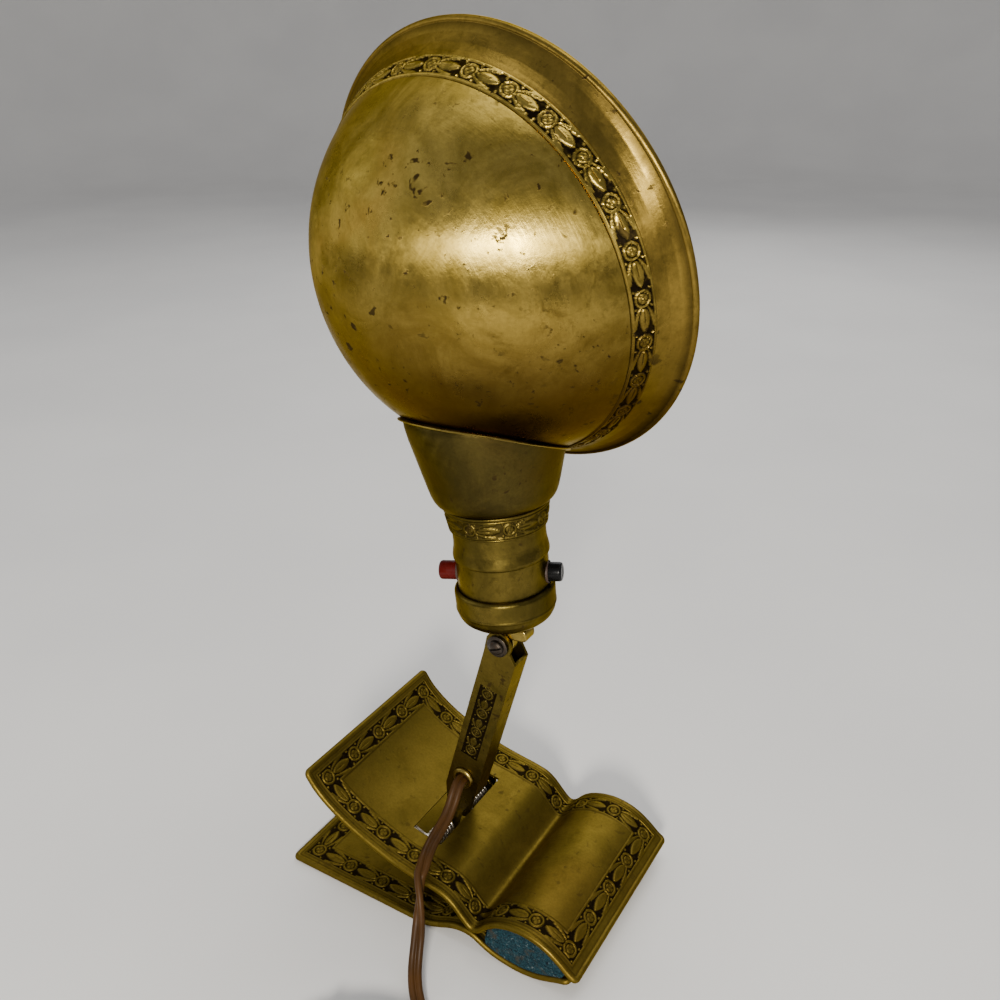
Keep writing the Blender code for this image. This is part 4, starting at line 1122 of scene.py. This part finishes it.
def make_arm():
    wall_y = ARM_HALF_DEPTH - ARM_WALL / 2.0
    flat = ARM_FRAME @ ALONG_Y      # local X across, local Y up the arm, local Z toward -Y
    near = slab("arm_channel_sheet", arm_outline(), ARM_WALL, flat @ shift(0, 0, wall_y), BRASS,
                bevel=0)
    far = slab("far_wall", arm_outline(), ARM_WALL, flat @ shift(0, 0, -wall_y), BRASS, bevel=0)
    inner, outer = ARM_HALF_WIDTH - ARM_WALL, ARM_HALF_WIDTH + 0.01
    web = block("web", (inner, WEB_LOW, -ARM_HALF_DEPTH + 0.01),
                (outer, WEB_TOP, ARM_HALF_DEPTH - 0.01), flat, BRASS, bevel=0)
    carve(near, [far, web], "UNION")
    tools = [drill(1.8, -9, 9, flat, BRASS, 40),
             drill(2.3, -9, 9, flat, BRASS, x=ARM_PIVOT_OFFSET, y=ARM_PIVOT),
             drill(3.7, 2, 9, flat, BRASS, 64, y=GROMMET_UP)]
    for side in (-1.0, 1.0):
        low, high = sorted((side * (ARM_HALF_DEPTH - PANEL_DEPTH), side * (ARM_HALF_DEPTH + 1.0)))
        tools.append(block("t", (PANEL_LEFT, PANEL_LOW, low), (PANEL_RIGHT, PANEL_TOP, high),
                           flat, BRASS, bevel=0))
    carve(near, tools)
    add_bevel(near, 0.32, 3)
    set_on(near, "arm", "arm_channel")
    for side, tag in ((1.0, "near"), (-1.0, "far")):
        arm_panel(f"arm_panel_{tag}", flat, side)
    make_grommet(flat)


def arm_panel(name, flat, side):
    """The sunk strip of rosettes and buds on one side of the arm."""
    step = 0.2
    x = np.arange(PANEL_LEFT - 0.1, PANEL_RIGHT + 0.1 + step / 2, step)
    up = np.arange(PANEL_LOW - 0.1, PANEL_TOP + 0.1 + step / 2, step)
    xx, uu = np.meshgrid(x, up)
    middle = (PANEL_LEFT + PANEL_RIGHT) / 2.0
    half = (PANEL_RIGHT - PANEL_LEFT) / 2.0 - 0.35
    length = PANEL_TOP - PANEL_LOW - 6.4
    s = uu - PANEL_LOW - 3.2
    height = border(s, xx - middle, length, 3, half - 0.15)
    height = np.where((s > -3.1) & (s < length + 3.1), height, 0.0)
    dark = np.clip(1.0 - height / 0.28, 0.0, 1.0)
    base = ARM_HALF_DEPTH - PANEL_DEPTH + 0.05
    z = (base + height * 0.8) * side
    top = np.stack([xx, uu, z], -1)
    under = np.stack([xx, uu, np.full_like(xx, (base - 0.3) * side)], -1)
    rows, cols = xx.shape
    faces = grid_faces(rows, cols)
    count = rows * cols
    faces += [[count + i for i in f] for f in faces]
    loop = ([j for j in range(cols)] + [i * cols + cols - 1 for i in range(1, rows)]
            + [(rows - 1) * cols + j for j in range(cols - 2, -1, -1)]
            + [i * cols for i in range(rows - 2, 0, -1)])
    faces += [[a, b, count + b, count + a] for a, b in zip(loop, loop[1:] + loop[:1])]
    points = np.concatenate([top.reshape(-1, 3), under.reshape(-1, 3)])
    patina = np.concatenate([dark.ravel(), np.ones(count)])
    panel = mesh_from(name, points, faces, BRASS, flat, patina=patina)
    set_on(panel, "arm")


def make_grommet(flat):
    face = ARM_HALF_DEPTH + 1.5
    back = ARM_HALF_DEPTH - ARM_WALL - 0.9
    wall_out, wall_in = ARM_HALF_DEPTH + 0.02, ARM_HALF_DEPTH - ARM_WALL - 0.02
    profile = [(3.25, face), (4.0, face), (4.7, face - 0.6), (4.7, wall_out), (3.45, wall_out),
               (3.45, wall_in), (4.1, wall_in), (4.1, back), (3.1, back), (2.95, back + 0.6),
               (2.95, face - 0.4)]
    ring = lathe("cord_grommet_ring", profile, flat @ shift(0, GROMMET_UP, 0), BRIGHT_BRASS, 80,
                 round_by=0.4)
    set_on(ring, "arm", "cord_grommet")


def make_arm_wire():
    """The cord's stretch inside the arm, bending out through the grommet."""
    bend = 4.4
    wall_in = ARM_HALF_DEPTH - ARM_WALL - 0.9
    turn = arc((-wall_in, GROMMET_UP + bend), bend, 0.0, -90.0, 12)
    line = [(0.0, bend - wall_in, up) for up in np.linspace(91.0, GROMMET_UP + bend + 1.0, 30)]
    line += [(0.0, y, up) for y, up in turn]
    line += [(0.0, -wall_in - d, GROMMET_UP) for d in (1.0, 2.0, 3.0, 3.25)]
    line = np.array(line)
    section = [(x * 0.9, y * 0.9) for x, y in cord_section()]
    up = np.broadcast_to(np.array([1.0, 0.0, 0.0]), line.shape)
    up = np.cross(up, tangents(line))
    inner = sweep("arm_wire_flex", line, section, VINYL, up=up, matrix=ARM_FRAME)
    set_on(inner, "arm", "arm_wire", slot="brown_vinyl")


def make_knuckle():
    flat = HEAD_FRAME @ ALONG_Y
    outline = arc((0.0, 0.0), 4.6, 180.0, 360.0, 30) + [(4.6, 6.8), (-4.6, 6.8)]
    tongue = slab("knuckle_brass", outline, 3.2, flat, BRIGHT_BRASS, bevel=0)
    carve(tongue, [drill(2.3, -5, 5, flat, BRASS)])
    add_bevel(tongue, 0.35)
    set_on(tongue, "socket", "knuckle")
    lug = slab("knuckle_lug", fillet([(2.0, 2.4), (11.4, 2.4), (11.4, 7.4), (2.0, 7.4)], 2.3, 6),
               6.8, flat, BRIGHT_BRASS, bevel=0)
    add_bevel(lug, 0.9)
    set_on(lug, "socket")
    collar = [(0.0, 9.5), (5.2, 9.5), (5.8, 9.0), (5.8, 8.4), (5.3, 8.0), (5.3, 7.6), (5.8, 7.2),
              (5.8, 6.6), (5.2, 6.1), (0.0, 6.1)]
    set_on(lathe("knuckle_collar", collar, SOCKET_FRAME, BRIGHT_BRASS, 72, ring=False,
                 round_by=0.25), "socket")
    thread = [(0.0, 14.6), (4.2, 14.6)]
    for turn in range(5):
        top = 14.2 - turn * 0.9
        thread += [(4.6, top), (4.25, top - 0.45)]
    thread += [(4.3, 9.6), (0.0, 9.6)]
    set_on(lathe("nipple_thread", thread, SOCKET_FRAME, BRASS, 64, ring=False, round_by=0),
           "socket")
    lock = slab("nipple_locknut", hexagon(8.2), 2.1, SOCKET_FRAME @ shift(0, 0, 13.15), STEEL, bevel=0)
    carve(lock, [drill(4.7, 8, 18, SOCKET_FRAME, STEEL)])
    add_bevel(lock, 0.25)
    set_on(lock, "socket", "nipple_nut", slot="steel")


def make_knuckle_fasteners():
    """Pan-head screw, disc and hexagon nut at the arm's top."""
    axis = SCREW_FRAME @ ALONG_Y
    wall = ARM_HALF_DEPTH
    head = [(0.0, wall + 3.1), (1.2, wall + 3.05), (2.2, wall + 2.7), (2.8, wall + 2.1),
            (3.0, wall + 1.45), (2.0, wall + 1.4)]
    profile = head + [(2.0, -wall - 4.0), (1.5, -wall - 4.5), (0.0, -wall - 4.5)]
    screw = lathe("knuckle_screw_steel", profile, axis, DARK_STEEL, 56, ring=False, round_by=0.2)
    turned = axis @ turn_z(math.radians(35.0))
    carve(screw, [block("t", (-4.0, -0.4, wall + 2.1), (4.0, 0.4, wall + 4.0), turned, DARK_STEEL,
                        bevel=0)])
    set_on(screw, "arm", "knuckle_screw", slot="dark_steel")
    disc = [(4.3, wall + 1.0), (4.3, wall + 0.35), (2.35, wall + 0.35), (2.35, wall + 1.25),
            (3.4, wall + 1.25)]
    washer = lathe("knuckle_washer_steel", disc, axis, DARK_STEEL, 64, round_by=0.15)
    set_on(washer, "arm", "knuckle_washer", slot="dark_steel")
    nut = slab("knuckle_nut_steel", hexagon(4.05), 2.6, axis @ shift(0, 0, -wall - 1.65), STEEL,
               bevel=0)
    carve(nut, [drill(2.1, -wall - 5, -wall + 1, axis, STEEL, 40)])
    add_bevel(nut, 0.3)
    set_on(nut, "arm", "knuckle_nut", slot="steel")


# ---- socket ----
def make_socket():
    axis = SOCKET_FRAME
    r = CAP_RADIUS
    cap = [(16.7, 23.4), (16.7, 24.7), (17.1, 24.8), (17.7, 24.5), (18.2, 23.9), (r + 0.1, 23.2),
           (r, 17.6), (r + 0.12, 17.2), (r + 0.12, 16.7), (r - 0.12, 16.3), (17.75, 14.7)]
    cap += [(16.8, 12.9), (15.0, 11.4), (12.6, 10.4), (9.0, 9.9), (5.05, 9.8), (5.05, 10.6),
            (8.8, 10.7), (12.2, 11.2), (14.4, 12.2), (16.0, 13.6), (16.9, 15.2), (17.3, 17.0),
            (17.3, 22.4), (16.75, 22.8)]
    cap = lathe("socket_cap_brass", cap, axis, BRASS, 128, round_by=0.35)
    set_on(cap, "socket", "socket_cap")
    r = SHELL_RADIUS
    shell = [(r - 0.8, 56.3), (r, 56.3), (r, 43.0), (r + 0.15, 41.4), (r + 0.5, 39.6),
             (r + 0.75, 38.0), (r + 0.7, 37.1), (r + 0.35, 36.6), (r, 36.5), (r, 19.2),
             (r - 0.8, 19.2)]
    shell = lathe("socket_shell_brass", shell, axis, BRASS, 160, round_by=0.25)
    liner = lathe("shell_liner_fibre", [(15.45, 54.0), (15.45, 18.0), (14.9, 18.0), (14.9, 54.0)],
                  axis, FIBRE, 96, round_by=0.1)
    body = lathe("switch_body_block", [(0.0, 37.0), (14.3, 37.0), (14.3, 15.4), (0.0, 15.4)],
                 axis, PHENOLIC, 96, ring=False, round_by=0.4)
    for side in (-1.0, 1.0):
        ends = ((side * 13.0, 0, 0), (side * 18.5, 0, 0))
        carve(shell, [rod("t", *ends, 4.0, SWITCH_FRAME, BRASS, 56)])
        carve(liner, [rod("t", *ends, 4.0, SWITCH_FRAME, FIBRE, 56)])
        carve(body, [rod("t", (side * 8.8, 0, 0), (side * 16, 0, 0), 4.0, SWITCH_FRAME, PHENOLIC,
                         56)])
    carve(body, [block("t", (-16, -2.3, -2.3), (16, 2.3, 2.3), SWITCH_FRAME, PHENOLIC, bevel=0)])
    set_on(shell, "socket", "socket_shell")
    set_on(liner, "socket", "shell_liner", slot="fibre")
    set_on(body, "socket", "switch_body", slot="phenolic")
    make_bushings()
    make_thread(axis)


def make_bushings():
    """Dark fibre rings where the buttons pass through the shell."""
    for side, tag in ((-1.0, "red"), (1.0, "black")):
        turn = SWITCH_FRAME @ turn_y(side * math.pi / 2.0)
        profile = [(4.25, 16.3), (4.25, 15.5), (3.75, 15.5), (3.75, 16.9), (4.05, 16.9)]
        ring = lathe(f"{tag}_bushing", profile, turn, PHENOLIC, 64, round_by=0.2)
        set_on(ring, "socket", slot="phenolic")


def make_thread(axis):
    """Threaded contact, tip contact and bulb base."""
    outer = [(13.9, 59.0)]
    for rib in range(7):
        low = 56.6 - rib * 2.7
        outer += [(14.15, low), (13.75, low - 1.35)]
    outer.append((13.75, 37.4))
    inner = [(radius - 0.45, z) for radius, z in reversed(outer)]
    shell = lathe("screw_shell_brass", outer + inner, axis, BRIGHT_BRASS, 96, round_by=0.35)
    set_on(shell, "socket", "screw_shell")
    tip = [(0.0, 39.6), (3.2, 39.4), (4.2, 38.4), (4.2, 37.4), (0.0, 37.4)]
    set_on(lathe("centre_contact_brass", tip, axis, BRIGHT_BRASS, 48, ring=False), "socket",
           "centre_contact")
    base = [(0.0, 64.1), (12.5, 64.1), (12.9, 63.4)]
    for rib in range(5):
        low = 61.6 - rib * 3.0
        base += [(12.4, low), (12.95, low - 1.5)]
    base += [(12.2, 46.5), (6.0, 42.5), (4.2, 40.8), (0.0, 40.2)]
    set_on(lathe("bulb_base_nickel", base, axis, NICKEL, 96, ring=False, round_by=0.5), "socket",
           "bulb_base", slot="nickel")
    make_bulb(axis)


BULB_MIDDLE = 104.5
BULB_RADIUS = 24.0
BULB_WALL = 0.9


def make_bulb(axis):
    """A frosted bulb: a ball that runs into a tapering neck."""
    middle, radius = BULB_MIDDLE, BULB_RADIUS
    glass = [(0.0, middle + radius)] + arc((0.0, middle), radius, 87.0, -34.0, 40)
    neck = [(19.0, 89.3), (17.4, 86.4), (15.9, 83.0), (14.3, 79.0), (13.2, 75.0), (12.5, 70.0),
            (12.2, 64.3)]
    inside = [(x - BULB_WALL, z) for x, z in reversed(neck)]
    radius = radius - BULB_WALL
    inside += arc((0.0, middle), radius, -34.0, 87.0, 30) + [(0.0, middle + radius)]
    bulb = lathe("bulb_glass_frosted", glass + neck + inside, axis, GLASS, 96, ring=False,
                 round_by=0)
    set_on(bulb, "socket", "bulb_glass", slot="bulb_glass")


def make_switch():
    bar = block("switch_bar_block", (-12.3, -2.0, -2.0), (12.3, 2.0, 2.0), SWITCH_FRAME, PHENOLIC)
    set_on(bar, "switch", "switch_bar", slot="phenolic")
    for node, side, end, finish in (("red_button", -1.0, RED_END, RED),
                                    ("black_button", 1.0, BLACK_END, BLACK)):
        turn = SWITCH_FRAME @ turn_y(side * math.pi / 2.0)
        r = 3.5
        profile = [(0.0, end - 0.35), (1.6, end - 0.25), (r - 0.9, end), (r - 0.25, end - 0.25),
                   (r, end - 0.9), (r, 12.6), (0.0, 12.6)]
        cap = lathe(f"{node}_cap", profile, turn, finish, 64, ring=False, round_by=0.3)
        set_on(cap, "switch", node, slot=node)


# ---- shade ----
def relief_ring(name, outer, inner, count, matrix, finish, soil=1.0, columns=720):
    """A turned band with the border's relief on its outer side and a plain inner side."""
    outer, inner = respaced(np.array(outer, float), 0.34), respaced(np.array(inner, float), 0.8)
    width = line_length(outer)
    half = width / 2.0 - 0.55
    angle = full_turn(columns)
    radius = outer[:, 0].mean()
    around = 2 * math.pi * radius
    t = np.linspace(width / 2.0, -width / 2.0, len(outer))
    ss, tt = np.meshgrid(angle * radius, t, indexing="ij")
    height = border(ss, tt, around, count, half, margin=0.1)
    height = np.maximum(height, rails(tt, half))
    height, dark = worn(height, np.abs(tt) < half, 0.12)
    rim = np.clip((width / 2.0 - np.abs(tt)) / 0.3, 0.0, 1.0)
    height, dark = height * rim, dark * rim
    normal = normals(outer)
    if normal[:, 0].mean() < 0:
        normal = -normal
    rr = outer[None, :, 0] + normal[None, :, 0] * height
    zz = outer[None, :, 1] + normal[None, :, 1] * height
    r_in = np.broadcast_to(inner[None, :, 0], (columns, len(inner)))
    z_in = np.broadcast_to(inner[None, :, 1], (columns, len(inner)))
    rr, zz = np.concatenate([rr, r_in], 1), np.concatenate([zz, z_in], 1)
    points = np.stack([rr * np.cos(angle)[:, None], rr * np.sin(angle)[:, None], zz], -1)
    patina = np.concatenate([dark * soil, np.zeros_like(r_in)], 1)
    faces = grid_faces(columns, rr.shape[1], wrap_rows=True, wrap_cols=True)
    return mesh_from(name, points, faces, finish, matrix, patina=patina, sharp=60.0)


OPENING_LOW = (21.5, 60.0)     # radius and height on the socket's axis
OPENING_TOP = (25.4, 95.0)


def opening():
    """Cutter for the hole that the bulb comes up through."""
    profile = [(0.0, OPENING_TOP[1]), OPENING_TOP, OPENING_LOW, (0.0, OPENING_LOW[1])]
    return lathe("opening", profile, SOCKET_FRAME, BRASS, 96, ring=False, round_by=0)


def make_dome():
    start = math.degrees(math.asin(BAND_LOW / DOME_RADIUS))
    skin = DOME_RADIUS - DOME_WALL
    outer = arc((0.0, 0.0), DOME_RADIUS, start - 0.6, -90.0, 72)
    inner = arc((0.0, 0.0), skin, -90.0, start - 0.6, 60)
    bowl = lathe("shade_bowl", outer + inner, SHADE_FRAME, DOME_BRASS, 224, round_by=0)
    dent(bowl)
    band_outer = [(DOME_RADIUS * math.cos(math.radians(start)), BAND_LOW - 0.2), (64.4, -22.6),
                  (66.15, BAND_HIGH + 0.2)]
    band_inner = [(64.9, BAND_HIGH + 0.2), (63.3, -22.6), (61.3, BAND_LOW - 0.2)]
    band = relief_ring("shade_border", band_outer, band_inner, SHADE_MOTIFS, SHADE_FRAME,
                       DOME_BRASS, columns=1152)
    flare = [(64.85, BAND_HIGH - 0.1), (66.05, BAND_HIGH - 0.1), (66.9, -17.0), (68.3, -14.6),
             (70.4, -12.0), (72.6, -10.1)]
    lip = arc((MOUTH_RADIUS - 1.35, MOUTH - 1.35), 1.35, -80.0, 170.0, 16)
    flare = flare + lip + [(71.2, -10.2), (69.2, -11.8), (67.2, -14.0), (65.7, -16.8)]
    flare = lathe("shade_flare", flare, SHADE_FRAME, SHADED_FLARE_BRASS, 256, round_by=0.3, sharp=60.0)
    darken_lip_ring(flare)
    for piece in (bowl, band, flare):
        carve(piece, [opening()])
    set_on(bowl, "shade", "shade_dome")
    set_on(band, "shade")
    set_on(flare, "shade")


def darken_lip_ring(obj):
    """Darkens, through the patina attribute, a thin ring where the flare meets its rolled lip."""
    away = vertices(obj) - np.array(SHADE_FRAME.translation) - ORIGIN
    along = away @ np.array(SPUN_ABOUT)
    radius = np.sqrt((away ** 2).sum(1) - along ** 2)
    dark = np.clip(1.0 - np.abs(radius - LIP_LINE) / 0.9, 0.0, 1.0)
    set_patina(obj.data, 0.85 * dark)


def dent(obj):
    """Shallow waves of a hand-worn spun sheet."""
    co = vertices(obj)
    away = unit(co - (np.array(SHADE_FRAME.translation) + ORIGIN))
    wave = (np.sin(away[:, 0] * 7.0 + 2.0 * away[:, 2]) * np.sin(away[:, 2] * 6.0 + 1.0)
            + 0.5 * np.sin(away[:, 1] * 15.0 + 4.0 * away[:, 0]))
    co = co + away * (wave * 0.09)[:, None]
    obj.data.vertices.foreach_set("co", (co * MM).ravel())
    obj.data.update()


def shade_radius(z):
    """Outer radius of the shade at a place on its own axis."""
    ball = np.sqrt(np.clip(DOME_RADIUS ** 2 - np.square(z), 0.0, None))
    flare = np.interp(z, [BAND_LOW, -22.6, BAND_HIGH, -17.0, -14.6, -12.0, -10.1, MOUTH],
                      [62.6, 64.4, 66.2, 66.9, 68.3, 70.4, 72.6, MOUTH_RADIUS])
    return np.where(z < BAND_LOW, ball, flare)


NECK = [(17.9, 57.7), (19.4, 57.9), (20.4, 58.4), (21.2, 59.2), (21.9, 60.4), (22.5, 62.0),
        (23.2, 64.6), (24.6, 70.4), (26.4, 78.0), (27.6, 83.0), (28.4, 87.5), (28.5, 89.5),
        (28.0, 91.2), (27.0, 92.4), (25.8, 93.2), (24.0, 94.0)]
NECK_WALL = 0.9


def neck_meets_shade(angles, ahead):
    """Height on the socket's axis where the neck's wall comes within ahead of the shade."""
    profile = np.array(NECK)
    to_shade = np.array(SHADE_FRAME.inverted() @ SOCKET_FRAME)
    heights = np.linspace(58.0, 94.0, 721)
    radii = np.interp(heights, profile[:, 1], profile[:, 0])
    found = []
    for angle in angles:
        p = np.stack([radii * math.cos(angle), radii * math.sin(angle), heights,
                      np.ones_like(heights)], -1) @ to_shade.T
        gap = np.hypot(p[:, 0], p[:, 1]) - shade_radius(p[:, 2])
        inside = (gap < ahead) & (p[:, 2] < MOUTH)
        found.append(heights[inside.argmax()] if inside.any() else heights[-1])
    return np.array(found)


def make_neck():
    columns = 192
    angles = full_turn(columns)
    top = neck_meets_shade(angles, -0.5)
    profile = np.array(NECK)
    share = np.linspace(0.0, 1.0, 40) ** 1.4
    low = profile[0, 1]
    z = low + (top[:, None] - low) * share[None]
    r = np.interp(z, profile[:, 1], profile[:, 0])
    z_all = np.concatenate([z, z[:, ::-1]], 1)
    r_all = np.concatenate([r, r[:, ::-1] - NECK_WALL], 1)
    points = np.stack([r_all * np.cos(angles)[:, None], r_all * np.sin(angles)[:, None], z_all], -1)
    faces = grid_faces(columns, points.shape[1], wrap_rows=True, wrap_cols=True)
    neck = mesh_from("shade_neck_cone", points, faces, NECK_BRASS, SOCKET_FRAME)
    set_on(neck, "shade", "shade_neck")
    seam_z = neck_meets_shade(angles, 0.2)
    seam_r = np.interp(seam_z, profile[:, 1], profile[:, 0]) + 0.75
    seam = np.stack([seam_r * np.cos(angles), seam_r * np.sin(angles), seam_z], -1)
    bead = closed_wire("neck_seam", seam, (1.15, 0.55), BRIGHT_BRASS, SOCKET_FRAME)
    set_on(bead, "shade")


def closed_wire(name, loop, radius, finish, matrix):
    """An oval wire along a closed loop, wide level and thick upright."""
    tangent = unit(np.roll(loop, -1, 0) - np.roll(loop, 1, 0))
    side = unit(np.cross(tangent, np.array([0.0, 0.0, 1.0])))
    over = np.cross(side, tangent)
    angles = full_turn(12)
    wide, thick = radius
    points = (loop[:, None] + side[:, None] * (np.cos(angles) * wide)[None, :, None]
              + over[:, None] * (np.sin(angles) * thick)[None, :, None])
    faces = grid_faces(len(loop), 12, wrap_rows=True, wrap_cols=True)
    return mesh_from(name, points, faces, finish, matrix)


def make_collar():
    outer = [(17.4, 48.9), (17.75, 51.0), (18.25, 53.8), (18.5, 56.2)]
    inner = [(16.95, 56.2), (16.95, 48.9)]
    ring = relief_ring("shade_collar_border", outer, inner, 8, SOCKET_FRAME, BRASS, soil=0.5,
                       columns=640)
    set_on(ring, "shade", "shade_collar")
    top = [(16.95, 57.4), (18.4, 57.4), (18.9, 57.0), (18.7, 56.1), (16.95, 56.1)]
    low = [(16.95, 49.0), (17.6, 49.0), (17.7, 48.5), (17.4, 48.2), (16.95, 48.2)]
    for tag, profile, round_by in (("top", top, 0.3), ("low", low, 0.2)):
        rim = lathe(f"collar_rim_{tag}", profile, SOCKET_FRAME, BRASS, 128, round_by=round_by)
        set_on(rim, "shade")


# ---- floor and lights ----
def make_stage():
    """A floor that curves up into a low wall far behind, and soft lights."""
    flat, bend, top = 2200.0, 700.0, 1500.0
    line = [(0.0, 0.0), (600.0, 0.0), (flat, 0.0)]
    line += [(flat + bend * math.sin(a), bend - bend * math.cos(a))
             for a in np.linspace(0.15, math.pi / 2.0, 12)]
    line += [(flat + bend, top)]
    angles = full_turn(96)
    points = [(r * math.cos(a), r * math.sin(a), z - 0.2) for r, z in line for a in angles]
    floor = mesh_from("floor", points, grid_faces(len(line), 96, wrap_cols=True), FLOOR)
    world = bpy.context.scene.world or bpy.data.worlds.new("studio")
    bpy.context.scene.world = world
    world.use_nodes = True
    background = world.node_tree.nodes["Background"]
    background.inputs["Color"].default_value = (0.95, 0.96, 1.0, 1.0)
    background.inputs["Strength"].default_value = 0.42
    area_light("key", (0.46, -0.80, 0.45), (0.07, 0.02, 0.24), 0.17, 13.0, (1.0, 0.955, 0.87))
    area_light("top", (0.15, 0.20, 1.30), (0.05, 0.0, 0.1), 1.0, 8.0, (1.0, 0.98, 0.94))
    area_light("left", (-1.10, -0.55, 0.7), (0.05, 0.0, 0.18), 1.1, 3.0, (0.95, 0.97, 1.0))
    area_light("back", (-0.3, 1.2, 0.9), (0.05, 0.0, 0.18), 1.0, 6.0, (1.0, 1.0, 1.0))


def area_light(name, place, target, size, power, colour):
    light = bpy.data.lights.new(name, "AREA")
    light.shape = "DISK"
    light.size = size
    light.energy = power
    light.color = colour
    obj = bpy.data.objects.new(name, light)
    bpy.context.scene.collection.objects.link(obj)
    obj.location = place
    direction = Vector(target) - Vector(place)
    obj.rotation_euler = direction.to_track_quat("-Z", "Y").to_euler()


# ---- the scene ----
make_camera()
lead, run, lead_line, run_line = make_cord()
tie = make_tie()
plug = make_plug()
make_plates()
make_felt()
make_pin()
make_springs()
make_arm()
make_arm_wire()
make_knuckle()
make_knuckle_fasteners()
make_socket()
make_switch()
make_collar()
make_neck()
make_dome()
make_stage()
